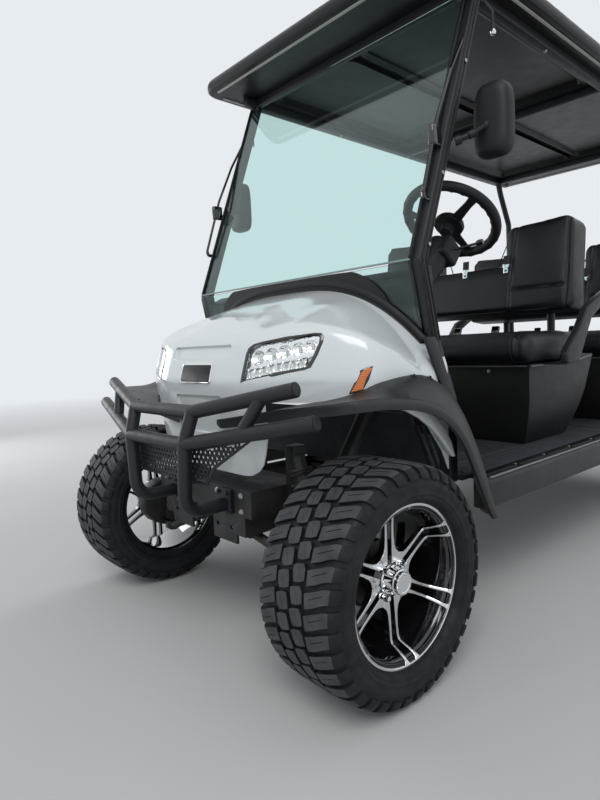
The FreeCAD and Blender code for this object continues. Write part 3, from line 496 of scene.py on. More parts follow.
def bent_tube(points, radius, bend, sides=20, material=None):
    """A tube along straight runs joined by arcs of one radius."""
    p = [Vector(q) for q in points]
    line = [p[0]]
    for a, corner, c in zip(p, p[1:], p[2:]):
        before, after = (a - corner).normalized(), (c - corner).normalized()
        half = before.angle(after) / 2
        trim = bend / math.tan(half)
        centre = corner + (before + after).normalized() * (bend / math.sin(half))
        first, last = corner + before * trim, corner + after * trim
        steps = max(2, int((math.pi - 2 * half) / 0.16))
        for k in range(steps + 1):
            arm = (first - centre).lerp(last - centre, k / steps)
            line.append(centre + arm.normalized() * bend)
    line.append(p[-1])
    return swept(line, radius, material, detail=sides // 4 - 1)


def cut(obj, *cutters):
    for cutter in cutters:
        modify(obj, "BOOLEAN", operation="DIFFERENCE", object=cutter, solver="EXACT")
        bpy.data.objects.remove(cutter)
    return obj


def loft(rings, ends=True, material=None):
    """A form through rings of equally many points."""
    count = len(rings[0])
    obj = add(bpy.ops.mesh.primitive_circle_add, vertices=count, fill_type="NGON" if ends else "NOTHING")
    only(obj)
    bpy.ops.object.mode_set(mode="EDIT")
    bpy.ops.mesh.select_all(action="SELECT")
    for _ in rings[1:]:
        bpy.ops.mesh.extrude_region_move(TRANSFORM_OT_translate={"value": (0, 0, 1)})
    bpy.ops.object.mode_set(mode="OBJECT")
    points = points_of(obj)
    angle = np.arctan2(points[:, 1], points[:, 0]) / (2 * math.pi)
    turn = np.round((angle - 0.25) * count).astype(int) % count
    level = np.round(points[:, 2]).astype(int)
    put_points(obj, [rings[k][j] for k, j in zip(level, turn)])
    outward(obj)
    return paint(obj, material) if material else obj


def slice_along(obj, axis, places):
    """Bisects a mesh at places along one axis, so that it can bend there."""
    only(obj)
    normal = [0, 0, 0]
    normal[axis] = 1
    bpy.ops.object.mode_set(mode="EDIT")
    for place in places:
        bpy.ops.mesh.select_all(action="SELECT")
        bpy.ops.mesh.bisect(plane_co=[place * n for n in normal], plane_no=normal)
    bpy.ops.object.mode_set(mode="OBJECT")
    return obj


def from_node(name, bevel=0.0, segments=3, material=None, angle=30):
    """A merged copy of a solid, its edges rounded."""
    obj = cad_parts[name].copy()
    obj.data = obj.data.copy()
    for label in list(obj.keys()):
        del obj[label]
    obj.parent = None
    obj.data.transform(Matrix.Translation((0, -AXLE_Y, 0)))
    bpy.context.collection.objects.link(obj)
    only(obj)
    bpy.ops.object.mode_set(mode="EDIT")
    bpy.ops.mesh.select_all(action="SELECT")
    bpy.ops.mesh.remove_doubles(threshold=2e-5)
    bpy.ops.mesh.dissolve_limited(angle_limit=math.radians(1.5))
    bpy.ops.object.mode_set(mode="OBJECT")
    if bevel:
        modify(obj, "BEVEL", width=bevel, segments=segments, limit_method="ANGLE",
               angle_limit=math.radians(angle))
    return paint(obj, material) if material else obj


def both_sides(obj):
    return join([obj, mirrored(obj)], obj.name)


def finish(obj, name, nodes=(), angle=35, body="chassis"):
    """Names a piece, moves it into the frame, ties it to its body and hides the nodes that it replaces."""
    smooth(obj, angle)
    obj.name = name
    obj.data.name = name
    obj.data.transform(Matrix.Translation((0, AXLE_Y, 0)))
    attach(obj, body)
    if nodes:
        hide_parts(*nodes)
    return obj


# Stage, lights and camera.
CAMERA_PLACE = (1.475, -1.052 + AXLE_Y, 0.861)
CAMERA_YAW = math.radians(48.23)
CAMERA_DIP = math.radians(5.13)
CAMERA_ROLL = math.radians(-2.19)
CAMERA_LENS = 25.69


def make_camera():
    forward = Vector((-math.sin(CAMERA_YAW) * math.cos(CAMERA_DIP),
                      math.cos(CAMERA_YAW) * math.cos(CAMERA_DIP), -math.sin(CAMERA_DIP)))
    level = Vector((math.cos(CAMERA_YAW), math.sin(CAMERA_YAW), 0))
    up = level.cross(forward)
    right = math.cos(CAMERA_ROLL) * level + math.sin(CAMERA_ROLL) * up
    above = math.cos(CAMERA_ROLL) * up - math.sin(CAMERA_ROLL) * level
    data = bpy.data.cameras.new("camera")
    data.lens = CAMERA_LENS
    data.sensor_width = 36
    data.clip_start = 0.01
    camera = bpy.data.objects.new("camera", data)
    bpy.context.collection.objects.link(camera)
    turn = Matrix((right, above, -forward)).transposed().to_4x4()
    camera.matrix_world = Matrix.Translation(CAMERA_PLACE) @ turn
    bpy.context.scene.camera = camera


def make_light(name, place, target, size, power):
    data = bpy.data.lights.new(name, "AREA")
    data.shape = "RECTANGLE"
    data.size, data.size_y = size
    data.energy = power
    light = bpy.data.objects.new(name, data)
    bpy.context.collection.objects.link(light)
    aim = Vector(target) - Vector(place)
    light.matrix_world = Matrix.Translation(place) @ aim.to_track_quat("-Z", "Y").to_matrix().to_4x4()


BACKDROP = (0.8, 0.835, 0.87)


def make_stage():
    floor = add(bpy.ops.mesh.primitive_plane_add, size=120)
    p = Paint("floor_pale", rough=0.85, Emission_Strength=1.0)
    x, y = p.axes(p.place())[:2]
    away = (x * x + y * y).apply("SQRT")
    far = p.ramp((away - 2.0) / 9.0, (0.0, 0.0), (1.0, 1.0))
    p.tint(far, p.mix(p.noise(1.2, 4.0), (0.66, 0.655, 0.64), (0.72, 0.715, 0.7)), (0.0, 0.0, 0.0))
    p.set("Emission Color", p.mix(far, (0.0, 0.0, 0.0), BACKDROP))
    p.set("Specular IOR Level", 0.0)
    p.bump(p.noise(180, 3.0), 0.1, 0.001)
    paint(floor, p.material)
    floor.name = "floor"
    world = bpy.data.worlds.new("world")
    bpy.context.scene.world = world
    world.use_nodes = True
    tree = world.node_tree
    lit = tree.nodes["Background"]
    lit.inputs["Color"].default_value = (0.86, 0.91, 0.97, 1)
    lit.inputs["Strength"].default_value = 0.5
    seen = tree.nodes.new("ShaderNodeBackground")
    seen.inputs["Color"].default_value = (*BACKDROP, 1)
    seen.inputs["Strength"].default_value = 1.0
    rays = tree.nodes.new("ShaderNodeLightPath")
    shown = rays.outputs["Is Camera Ray"]
    for kind in ("Is Transmission Ray", "Is Glossy Ray"):
        either = tree.nodes.new("ShaderNodeMath")
        either.operation = "MAXIMUM"
        tree.links.new(shown, either.inputs[0])
        tree.links.new(rays.outputs[kind], either.inputs[1])
        shown = either.outputs[0]
    blend = tree.nodes.new("ShaderNodeMixShader")
    tree.links.new(shown, blend.inputs[0])
    tree.links.new(lit.outputs[0], blend.inputs[1])
    tree.links.new(seen.outputs[0], blend.inputs[2])
    tree.links.new(blend.outputs[0], tree.nodes["World Output"].inputs["Surface"])
    make_light("key", (3.2, -4.2, 5.0), (0, -0.6, 0.8), (3.0, 3.0), 130)
    make_light("fill", (-5.0, -2.0, 1.5), (0, -0.5, 0.7), (2.4, 1.6), 40)
    make_light("back", (-1.5, 5.0, 4.5), (0, 0.5, 1.0), (4.0, 2.5), 80)


make_camera()
make_stage()
bpy.context.scene.view_settings.view_transform = "Standard"


# Tyres, drawn about the X axis at the origin with the outer side at +X.
CROWN = 0.282
SHOULDER_X = 0.097
SHOULDER_BEND = 0.024
LUG_PITCHES = 38
LUG_HEIGHT = 0.01
SHOULDER_LUG = [(0.05, 0.0), (0.074, 0.009), (0.104, 0.024), (0.133, 0.029), (0.133, 0.06), (0.102, 0.056),
                (0.072, 0.043), (0.046, 0.033)]
MIDDLE_LUG = [(0.01, 0.0), (0.026, 0.002), (0.042, 0.009), (0.039, 0.033), (0.031, 0.044), (0.014, 0.04),
              (0.002, 0.035), (0.005, 0.016)]
SIDEWALL = [(0.1216, 0.252), (0.1232, 0.248), (0.124, 0.244), (0.1248, 0.24), (0.1242, 0.237),
            (0.1246, 0.23), (0.1238, 0.223), (0.1246, 0.2215), (0.1236, 0.22), (0.121, 0.213),
            (0.1216, 0.2115), (0.12, 0.2095), (0.115, 0.2045), (0.109, 0.2015), (0.105, 0.2005),
            (0.104, 0.196), (0.1, 0.19), (0.096, 0.183)]


def tyre_section(run, lift):
    """Offset and radius at a distance run across the tread from its middle, lifted off the surface."""
    side = math.copysign(1.0, run)
    run = abs(run)
    lean = max(0.0, run - SHOULDER_X) / SHOULDER_BEND
    x = min(run, SHOULDER_X) + SHOULDER_BEND * math.sin(lean)
    r = CROWN - 0.002 * min(1.0, run / SHOULDER_X) ** 2 - SHOULDER_BEND * (1 - math.cos(lean))
    return side * (x + lift * math.sin(lean)), r + lift * math.cos(lean)


def lug(outline, sipe):
    """One tread block, flat, with a narrow slot in its top, then laid on the tyre."""
    x0, x1, y0, y1 = sipe
    obj = plate(outline, LUG_HEIGHT + 0.002, 2, -0.002, bevel=0.0008, segments=1)
    slot = plate([(x0, y0), (x1, y1), (x1, y1 + 0.0016), (x0, y0 + 0.0016)], 0.02, 2, LUG_HEIGHT - 0.003)
    cut(obj, slot)
    slice_along(obj, 0, [SHOULDER_X + 0.006 * k for k in range(6)])
    slice_along(obj, 1, [0.0, 0.02, 0.04])
    obj.data.materials.append(RUBBER)
    obj.data.materials.append(TREAD)
    for face in obj.data.polygons:
        face.material_index = int(face.center.z > LUG_HEIGHT - 0.001 and face.center.x < 0.109)
    return obj


def laid_on_tyre(obj, turned_round):
    points = []
    for s, t, h in points_of(obj):
        lift = h * (1 - 0.5 * min(1.0, max(0.0, s - 0.085) / 0.04))
        x, r = tyre_section(s, lift)
        if turned_round:
            x, t = -x, -t + 0.068
        a = t / (CROWN + LUG_HEIGHT)
        points.append((x, r * math.sin(a), r * math.cos(a)))
    put_points(obj, points)
    return obj


def make_tyre():
    crown = [tyre_section(s, 0) for s in np.linspace(0, SHOULDER_X + SHOULDER_BEND * 1.45, 14)]
    half = crown + SIDEWALL
    profile = half + [(-x, r) for x, r in reversed(half) if x > 0]
    carcass = spun(profile, 120, material=RUBBER)
    lugs = []
    for outline, sipe in ((SHOULDER_LUG, (0.062, 0.098, 0.023, 0.04)),
                          (MIDDLE_LUG, (0.018, 0.028, 0.034, 0.01))):
        flat = lug(outline, sipe)
        for turned_round in (False, True):
            first = laid_on_tyre(copy_of(flat), turned_round)
            for n in range(LUG_PITCHES):
                lugs.append(copy_of(first, Matrix.Rotation(2 * math.pi * n / LUG_PITCHES, 4, "X")))
            bpy.data.objects.remove(first)
        bpy.data.objects.remove(flat)
    return carcass, join(lugs, "lugs")


# Rims, drawn as the tyres are.
SPOKE_PAIRS = 6
SPOKE_START = math.radians(2)
# distance from the hub's middle, face, the bar's edge towards its twin, its other edge, depth
SPOKE = [(0.038, 0.045, 0.0085, 0.0215, 0.02), (0.05, 0.046, 0.0085, 0.0285, 0.02),
         (0.06, 0.0465, 0.0085, 0.0342, 0.02), (0.066, 0.0467, 0.0084, 0.028, 0.02),
         (0.072, 0.047, 0.0083, 0.0225, 0.019), (0.085, 0.0475, 0.0083, 0.0182, 0.018),
         (0.105, 0.048, 0.0086, 0.0164, 0.017), (0.13, 0.0488, 0.0092, 0.016, 0.016),
         (0.15, 0.05, 0.01, 0.0166, 0.016), (0.158, 0.053, 0.0105, 0.0172, 0.018),
         (0.165, 0.067, 0.0116, 0.0184, 0.02), (0.1715, 0.081, 0.013, 0.02, 0.02),
         (0.178, 0.093, 0.0145, 0.022, 0.014), (0.184, 0.1, 0.014, 0.0245, 0.01),
         (0.1905, 0.1034, 0.0105, 0.0315, 0.006)]


def spoke_bar(side, wider, top, thick=None):
    """One bar of a pair: a section with chamfered edges, through the stations of SPOKE."""
    rings = []
    for r, x, near, far, depth in SPOKE:
        low, face = x - (thick or depth), x + top
        a, b = side * (near - wider), side * (far + wider)
        edge = 0.0007 * math.copysign(1, b - a)
        rings.append([(low, a, r), (face - 0.0008, a, r), (face, a + edge, r), (face, b - edge, r),
                      (face - 0.0008, b, r), (low, b, r)])
    return loft(rings)


def make_rim():
    barrel = spun([(-0.103, 0.1975), (-0.0985, 0.1985), (-0.0965, 0.1818), (0.0965, 0.1818),
                   (0.098, 0.1985), (0.1005, 0.198), (0.0985, 0.19), (0.094, 0.185), (0.09, 0.18),
                   (0.082, 0.1765), (-0.08, 0.1745), (-0.0965, 0.187)], 120, material=GLOSS)
    lip = spun([(0.0975, 0.1992), (0.1022, 0.199), (0.1038, 0.1977), (0.1042, 0.1925), (0.103, 0.19),
                (0.0975, 0.189)], 120, material=MACHINED)
    hub = spun([(0.011, 0.0), (0.011, 0.05), (0.014, 0.054), (0.036, 0.054), (0.042, 0.048), (0.0435, 0.04),
                (0.0435, 0.0)], 64, material=GLOSS)
    pieces = [barrel, lip, hub]
    for side in (-1, 1):
        black = paint(spoke_bar(side, 0.0006, -0.0006), GLOSS)
        bright = paint(spoke_bar(side, 0.0, 0.0, 0.002), MACHINED)
        for n in range(SPOKE_PAIRS):
            turn = Matrix.Rotation(SPOKE_START + 2 * math.pi * n / SPOKE_PAIRS, 4, "X")
            pieces += [copy_of(black, turn), copy_of(bright, turn)]
        bpy.data.objects.remove(black)
        bpy.data.objects.remove(bright)
    return join(pieces, "rim")


def make_cap():
    """The chrome cap, its sides fluted, and four chrome nuts around it."""
    profile = [(0.04, 0.0375), (0.0475, 0.0375), (0.049, 0.036), (0.0505, 0.0352), (0.053, 0.035),
               (0.062, 0.0342), (0.071, 0.0332), (0.074, 0.033), (0.0765, 0.0322), (0.0775, 0.029),
               (0.086, 0.0285), (0.0878, 0.027), (0.0884, 0.022), (0.0872, 0.02), (0.087, 0.0), (0.04, 0.0)]
    cap = spun(profile, 96, material=CHROME)
    points = points_of(cap)
    angle = np.arctan2(points[:, 1], points[:, 2])
    fluted = (points[:, 0] > 0.0515) & (points[:, 0] < 0.073) & (np.cos(8 * angle) > 0.15)
    away = np.hypot(points[:, 1], points[:, 2])
    notched = (points[:, 0] > 0.078) & (np.cos(16 * angle) > 0.6) & (away > 0.026)
    points[fluted, 1:] *= 0.86
    points[notched, 1:] *= 0.94
    put_points(cap, points)
    nut = spun([(0.04, 0.0), (0.04, 0.01), (0.044, 0.01), (0.046, 0.0085), (0.064, 0.008), (0.068, 0.0062),
                (0.0695, 0.003), (0.0695, 0.0)], 24, material=CHROME)
    nut.data.transform(Matrix.Translation((0, 0, 0.0475)))
    pieces = [cap]
    for n in range(4):
        pieces.append(copy_of(nut, Matrix.Rotation(math.pi / 2 * (n + 0.5), 4, "X")))
    bpy.data.objects.remove(nut)
    return join(pieces, "cap")


def make_wheels():
    carcass, lugs = make_tyre()
    rim, cap = make_rim(), make_cap()
    tyre = join([carcass, lugs], "tyre")
    for name, side, y in (("front_left", 1, 0.0), ("front_right", -1, 0.0), ("rear_left", 1, WHEELBASE),
                          ("rear_right", -1, WHEELBASE)):
        place = Matrix.Translation((side * HALF_TRACK, y, TYRE_RADIUS))
        if side < 0:
            place = place @ Matrix.Scale(-1, 4, (1, 0, 0))
        body = "wheel_" + name
        finish(copy_of(tyre, place), "tread_" + name, ["tyre_" + name], 38, body)
        finish(copy_of(rim, place), "alloy_" + name, ["rim_" + name], 30, body)
        finish(copy_of(cap, place), "cap_" + name, [], 30, body)
    for obj in (tyre, rim, cap):
        bpy.data.objects.remove(obj)


make_wheels()


# Nose. The body is the inner side of a hood line, a raked front and two flanks, blended where they meet.
COWL_WALL = 0.004
GLASS_SLOPE = 0.261
KNEE = (0.222, 1.088)


def on_glass_plane(z):
    return KNEE[0] + (KNEE[1] - z) * GLASS_SLOPE


def hood_height(y):
    """The hood's middle line: steep at the front and flatter towards the glass."""
    return 0.9606 + 0.5 * y - 0.53 * y ** 2


def blended(a, b, reach):
    """The larger of two fields, rounded over where they are near each other."""
    h = held(0.5 + 0.5 * (a - b) / reach)
    return b + (a - b) * h + reach * h * (1 - h)


def bump_of(value, middle, width):
    return np.exp(-((value - middle) / width) ** 2)


def cowl_field(x, y, z):
    """Positive outside the nose, in about metres."""
    w = np.abs(x)
    rearward = held((y + 0.05) / 0.27)
    droop = 0.55 + 1.16 * rearward ** 1.3
    crest = 0.006 * bump_of(w, 0.335, 0.06) * held((y + 0.09) / 0.08) * held((0.21 - y) / 0.12)
    valley = 0.005 * bump_of(w, 0.205, 0.065) * held((y + 0.12) / 0.1) * held((0.2 - y) / 0.12)
    hood = z - (hood_height(y) - droop * w ** 3.2 + crest - valley)
    face = -0.15 + 0.3 * np.maximum(0, z - 0.78) + 0.115 * np.maximum(0, 0.78 - z)
    sweep = 0.95 * np.maximum(0, w - 0.165) ** 1.71
    front = (face + sweep - y) * 0.93
    swell = 0.012 * bump_of(y, 0.13, 0.1) * bump_of(z, 0.8, 0.07)
    flank = w - (0.54 + 0.01 * held((y - 0.05) / 0.2) - 0.1 * np.maximum(0, z - 0.8) + swell)
    return blended(blended(hood, front, 0.022), flank, 0.03)


def surface_along(start, direction, near, far):
    """Where rays from start leave the nose, by halving."""
    low, high = np.full(len(direction), near), np.full(len(direction), far)
    for _ in range(26):
        middle = (low + high) / 2
        place = start + direction * middle[:, None]
        outside = cowl_field(place[:, 0], place[:, 1], place[:, 2]) > 0
        high = np.where(outside, middle, high)
        low = np.where(outside, low, middle)
    return start + direction * low[:, None]


def nose_depth(x, z):
    """The y of the nose's skin at each (x, z), seen from the front."""
    x, z = np.atleast_1d(x).astype(float), np.atleast_1d(z).astype(float)
    start = np.stack([x, np.full(len(x), 0.2), z], 1)
    return surface_along(start, np.tile([0.0, -1.0, 0.0], (len(x), 1)), 0.0, 0.6)[:, 1]


def flank_reach(y, z):
    """The x of the nose's left skin at each (y, z)."""
    y, z = np.atleast_1d(y).astype(float), np.atleast_1d(z).astype(float)
    start = np.stack([np.zeros(len(y)), y, z], 1)
    return surface_along(start, np.tile([1.0, 0.0, 0.0], (len(y), 1)), 0.0, 0.8)[:, 0]


LAMP = [(0.222, 0.778), (0.2235, 0.8), (0.2255, 0.852), (0.23, 0.867), (0.245, 0.877), (0.271, 0.882),
        (0.332, 0.89), (0.396, 0.898), (0.412, 0.8975), (0.42, 0.89), (0.4205, 0.875), (0.4135, 0.844),
        (0.4035, 0.814), (0.391, 0.809), (0.321, 0.796)]
MARKER = [(-0.006, 0.744), (0.002, 0.772), (0.013, 0.799), (0.023, 0.807), (0.036, 0.809), (0.022, 0.779),
          (0.013, 0.75)]


def scaled(outline, more):
    """An outline grown by about more on every side."""
    middle = np.mean(outline, 0)
    grown = []
    for point in outline:
        arm = np.array(point) - middle
        grown.append(tuple(middle + arm * (1 + more / np.linalg.norm(arm))))
    return grown


def chamfered(half, low, high, r=0.004):
    """A rectangle with its corners cut off."""
    return [(-half + r, low), (half - r, low), (half, low + r), (half, high - r), (half - r, high),
            (-half + r, high), (-half, high - r), (-half, low + r)]


def make_cowl():
    centre = np.array([0.0, 0.27, 0.62])

    def rays(u, v):
        turn = math.radians(-112 + 224 * u)
        rise = math.radians(-38 + 128 * v)
        return (math.sin(turn) * math.cos(rise), -math.cos(turn) * math.cos(rise), math.sin(rise))

    obj = sheet_of(240, 120, rays)
    direction = points_of(obj)
    direction /= np.linalg.norm(direction, axis=1)[:, None]
    put_points(obj, surface_along(centre, direction, 0.05, 0.9))
    outward(obj, 1e-5)
    top_face = max(obj.data.polygons, key=lambda face: face.center.z)
    if top_face.normal.z < 0:
        obj.data.flip_normals()
    modify(obj, "SOLIDIFY", thickness=COWL_WALL, offset=-1)
    behind_glass = plate([(on_glass_plane(1.3) - 0.012, 1.3), (on_glass_plane(0.862) - 0.012, 0.862),
                          (0.9, 0.862), (0.9, 1.3)], 1.6, 0, -0.8)
    behind = plate([(0.338, 0.87), (0.338, 0.0), (0.9, 0.0), (0.9, 0.87)], 1.6, 0, -0.8)
    half = [(0.285, 0.0), (0.285, 0.64), (0.268, 0.578), (0.256, 0.546), (0.24, 0.527), (0.214, 0.5135),
            (0.19, 0.5105)]
    below = plate([(-x, z) for x, z in half] + list(reversed(half)), 1.2, 1, -0.5)
    cut(obj, behind_glass, behind, below)
    arch = [(-0.4, 0.0), (-0.4, 0.722), (-0.05, 0.722), (0.119, 0.712), (0.18, 0.69), (0.23, 0.65),
            (0.306, 0.56), (0.37, 0.44), (0.37, 0.0)]
    for side in (-1, 1):
        cut(obj, plate(arch, side * 0.6, 0, side * 0.2845))
        cut(obj, plate([(side * x, z) for x, z in LAMP], 0.4, 1, -0.3))
        cut(obj, plate(scaled(MARKER, 0.0005), side * 0.3, 0, side * 0.4))
    for half, low, high in ((0.156, 0.838, 0.88), (0.128, 0.62, 0.735)):
        cut(obj, plate(chamfered(half, low, high, 0.008), 0.2, 1, -0.25))
    skins = [paint(obj, WHITE)]
    for half, low, high, deep in ((0.159, 0.835, 0.883, 0.01), (0.131, 0.617, 0.738, 0.01)):
        skins.append(sunk_panel(half, low, high, deep))
    return join(skins, "cowl")


def sunk_panel(half, low, high, deep):
    """The floor and sloping sides of a recess in the nose."""
    def shape(u, v):
        x = (2 * u - 1) * half
        z = low + (high - low) * v
        inside = min(1.0, min(half - abs(x), z - low, high - z) / 0.006)
        return (x, z, inside)

    panel = sheet_of(60, 24, shape)
    points = points_of(panel)
    y = nose_depth(points[:, 0], points[:, 1])
    put_points(panel, np.stack([points[:, 0], y + 0.0022 + deep * np.maximum(0, points[:, 2]),
                                points[:, 1]], 1))
    modify(panel, "SOLIDIFY", thickness=0.003, offset=0)
    return paint(outward(panel), WHITE)


def ring_of(outline, behind):
    """An outline laid on the nose, each point so far behind its skin."""
    y = nose_depth([x for x, z in outline], [z for x, z in outline])
    return [(x, depth + behind, z) for (x, z), depth in zip(outline, y)]


def make_badge():
    """A bare black plate with a bright edge, laid on the nose."""
    edge = chamfered(0.082, 0.7705, 0.827)
    face = chamfered(0.0795, 0.773, 0.8245)
    inner = chamfered(0.0775, 0.775, 0.8225)
    rim = loft([ring_of(edge, 0.006), ring_of(edge, -0.004), ring_of(face, -0.0052),
                ring_of(inner, -0.0035)], True, CHROME)
    pad = loft([ring_of(inner, -0.002), ring_of(inner, -0.0046),
                ring_of(chamfered(0.076, 0.7765, 0.821), -0.0052)], True, DASH)
    return join([rim, pad], "badge")


finish(make_cowl(), "nose_shell", ["front_cowl"], 28)
finish(make_badge(), "blank_badge", ["nose_badge"], 30)


# Lamps in the nose.
def reflector():
    p = Paint("reflector", color=(0.93, 0.935, 0.94), metal=1.0)
    p.wear(70, 3.0, (0.3, 0.08), (0.75, 0.24))
    p.bump(p.cells(190), 0.5, 0.0012)
    return p.material


def light_chip():
    p = Paint("light_chip", rough=0.3, Coat_Weight=1.0)
    p.tint(p.noise(300, 1.0), (0.86, 0.87, 0.86), (0.96, 0.965, 0.95))
    return p.material


REFLECTOR = reflector()
CHIP = light_chip()
LAMP_LOW = [(0.226, 0.781), (0.406, 0.815)]
LAMP_HIGH = [(0.23, 0.872), (0.418, 0.895)]
BOWLS = [(0.13, 0.6, 0.0205), (0.33, 0.62, 0.0195), (0.52, 0.64, 0.0185), (0.7, 0.66, 0.0175),
         (0.86, 0.68, 0.016)]
BOWL_FLOOR = 0.026
CELL_COUNT = 9


def in_lamp(u, v):
    low = np.array(LAMP_LOW[0]) + (np.array(LAMP_LOW[1]) - LAMP_LOW[0]) * u
    high = np.array(LAMP_HIGH[0]) + (np.array(LAMP_HIGH[1]) - LAMP_HIGH[0]) * u
    return low + (high - low) * v


def make_headlight():
    """Chromed bowls above a row of square cells, behind a clear cover in a black frame."""
    bucket = sheet_of(110, 56, lambda u, v: (*in_lamp(u, v), 0.0))
    flat = points_of(bucket)
    depth = np.full(len(flat), 0.012)
    for u, v, radius in BOWLS:
        x, z = in_lamp(u, v)
        reach = np.hypot(flat[:, 0] - x, flat[:, 1] - z) / radius
        depth = np.where(reach < 1, 0.012 + (BOWL_FLOOR - 0.012) * (1 - reach ** 2), depth)
    rows = (flat[:, 1] - 0.7825 - 0.185 * (flat[:, 0] - 0.222)) / 0.024
    cells = (flat[:, 0] - 0.229) / (0.176 / CELL_COUNT)
    wall = np.abs((cells % 1.0) - 0.5)
    hollow = held((0.44 - wall) / 0.1) * held((1 - np.abs(rows * 2 - 1)) / 0.2)
    depth = np.where(rows < 1.0, 0.01 + 0.01 * hollow, depth)
    depth = np.where((rows > 1.0) & (rows < 1.12), 0.006, depth)
    y = nose_depth(flat[:, 0], flat[:, 1])
    put_points(bucket, np.stack([flat[:, 0], y + depth, flat[:, 1]], 1))
    modify(bucket, "SOLIDIFY", thickness=0.002, offset=0)
    pieces = [paint(outward(bucket), REFLECTOR)]
    for u, v, radius in BOWLS:
        x, z = in_lamp(u, v)
        y = nose_depth(x, z)[0]
        chip = spun([(0.0, 0.0), (0.0, 0.0055), (0.004, 0.0055), (0.008, 0.0042), (0.0095, 0.0)], 20,
                    (x, y + BOWL_FLOOR, z), (0.25, -1, 0), material=CHIP)
        ring = spun([(-0.001, 0.0085), (-0.001, 0.01), (0.003, 0.01), (0.003, 0.0085)], 20,
                    (x, y + BOWL_FLOOR - 0.003, z), (0.25, -1, 0), material=CHROME)
        pieces += [chip, ring]
    for n in range(CELL_COUNT):
        x = 0.229 + 0.176 / CELL_COUNT * (n + 0.5)
        z = 0.7825 + 0.185 * (x - 0.222) + 0.012
        y = nose_depth(x, z)[0]
        pieces.append(block(x - 0.006, x + 0.006, y + 0.014, y + 0.019, z - 0.0065, z + 0.0065,
                            0.0015, 2, CHIP))
    back = plate(scaled(LAMP, 0.001), 0.002, 1, 0.0, material=GLOSS)
    points = points_of(back)
    points[:, 1] += nose_depth(points[:, 0], points[:, 2]) + 0.03
    put_points(back, points)
    pieces.append(back)
    outer, inner = scaled(LAMP, 0.004), scaled(LAMP, -0.006)
    rings = [ring_of(outer, 0.004), ring_of(outer, -0.0012), ring_of(scaled(LAMP, -0.001), -0.002),
             ring_of(inner, 0.0005), ring_of(inner, 0.03), ring_of(outer, 0.03), ring_of(outer, 0.004)]
    pieces.append(loft(rings, False, GLOSS))
    cover = sheet_of(28, 14, lambda u, v: (*in_lamp(0.015 + 0.97 * u, 0.04 + 0.92 * v), 0.0))
    flat = points_of(cover)
    put_points(cover, np.stack([flat[:, 0], nose_depth(flat[:, 0], flat[:, 1]) + 0.0015, flat[:, 1]], 1))
    modify(cover, "SOLIDIFY", thickness=0.0015, offset=0)
    pieces.append(paint(outward(cover), CLEAR))
    return join(pieces, "headlight")


def make_marker():
    def laid(outline, out):
        x = flank_reach([y for y, z in outline], [z for y, z in outline])
        return [(reach + out, y, z) for (y, z), reach in zip(outline, x)]

    lens = loft([laid(scaled(MARKER, -0.002), -0.006), laid(scaled(MARKER, -0.002), 0.0),
                 laid(scaled(MARKER, -0.005), 0.0022)], True, AMBER)
    frame_ring = loft([laid(scaled(MARKER, 0.0025), -0.006), laid(scaled(MARKER, 0.0025), 0.0006),
                       laid(scaled(MARKER, -0.0018), 0.0012), laid(scaled(MARKER, -0.0018), -0.006),
                       laid(scaled(MARKER, 0.0025), -0.006)], False, GLOSS)
    return join([lens, frame_ring], "marker")


finish(both_sides(make_headlight()), "lamp_units", ["headlights"], 30)
finish(both_sides(make_marker()), "marker_lenses", ["marker_lights"], 30)


# Windshield: the ribbed seal along the hood, the panes, and the posts with their hardware.
SEAL = [(-0.004, 0.0), (-0.004, 0.006), (0.0, 0.01), (0.007, 0.01), (0.01, 0.0062), (0.014, 0.0062),
        (0.018, 0.0095), (0.026, 0.0095), (0.031, 0.005), (0.031, 0.0)]


def hood_edge(x):
    return 1.046 - 1.71 * abs(x) ** 3.2


def make_seal():
    """A ribbed strip along the hood, with a flat apron up to the seam between the panes."""
    rings = []
    lean = Vector((0, -1, -GLASS_SLOPE)).normalized()
    for x in np.linspace(-0.5, 0.5, 81):
        z = hood_edge(x)
        slope = -1.71 * 3.2 * abs(x) ** 2.2 * math.copysign(1, x)
        run = Vector((1, 0, slope)).normalized()
        up = Vector((-run.z, 0, run.x))
        apron = 0.0325 + (1.0865 - z - 0.0325) * min(1.0, max(0.0, (0.4 - abs(x)) / 0.12))
        ring = []
        for rise, proud in SEAL[:-1] + [(0.0325, 0.0035), (apron, 0.003), (apron, 0.0)]:
            base = Vector((x, 0, z)) + up * rise
            base.y = on_glass_plane(base.z) - 0.0005
            ring.append(tuple(base + lean * proud))
        rings.append(ring)
    return loft(rings, True, DASH)


def make_posts():
    pieces = [from_node("windshield_posts", 0.004, 3, COAT)]
    channel = [(0.516, 1.882), (0.228, 1.088), (0.287, 0.87)]
    for side in (-1, 1):
        x = side * 0.5405
        for start, end in zip(channel, channel[1:]):
            pieces.append(rod((x, start[0] + 0.016, start[1]), (x, end[0] + 0.016, end[1]), 0.0035, 12,
                              material=DASH))
            pieces.append(rod((x, start[0] + 0.032, start[1]), (x, end[0] + 0.032, end[1]), 0.0022, 12,
                              material=DASH))
        for y, z in ((0.262, 1.13), (0.33, 1.33), (0.452, 1.66)):
            pieces.append(rod((side * 0.538, y + 0.01, z), (side * 0.5455, y + 0.01, z), 0.0055, 12,
                              0.001, STEEL))
        seal = bent_tube([(side * 0.5425, 0.236, 1.08), (side * 0.5425, 0.252, 1.0),
                          (side * 0.5425, 0.29, 0.862)], 0.0045, 0.05, 12, material=RUBBER)
        pieces.append(seal)
        pieces.append(plate([(0.222, 0.88), (0.272, 0.88), (0.29, 0.848), (0.358, 0.712), (0.322, 0.698),
                             (0.24, 0.846)], side * 0.009, 0, side * 0.55, 0.002, 2, COAT))
    return join(pieces, "posts")


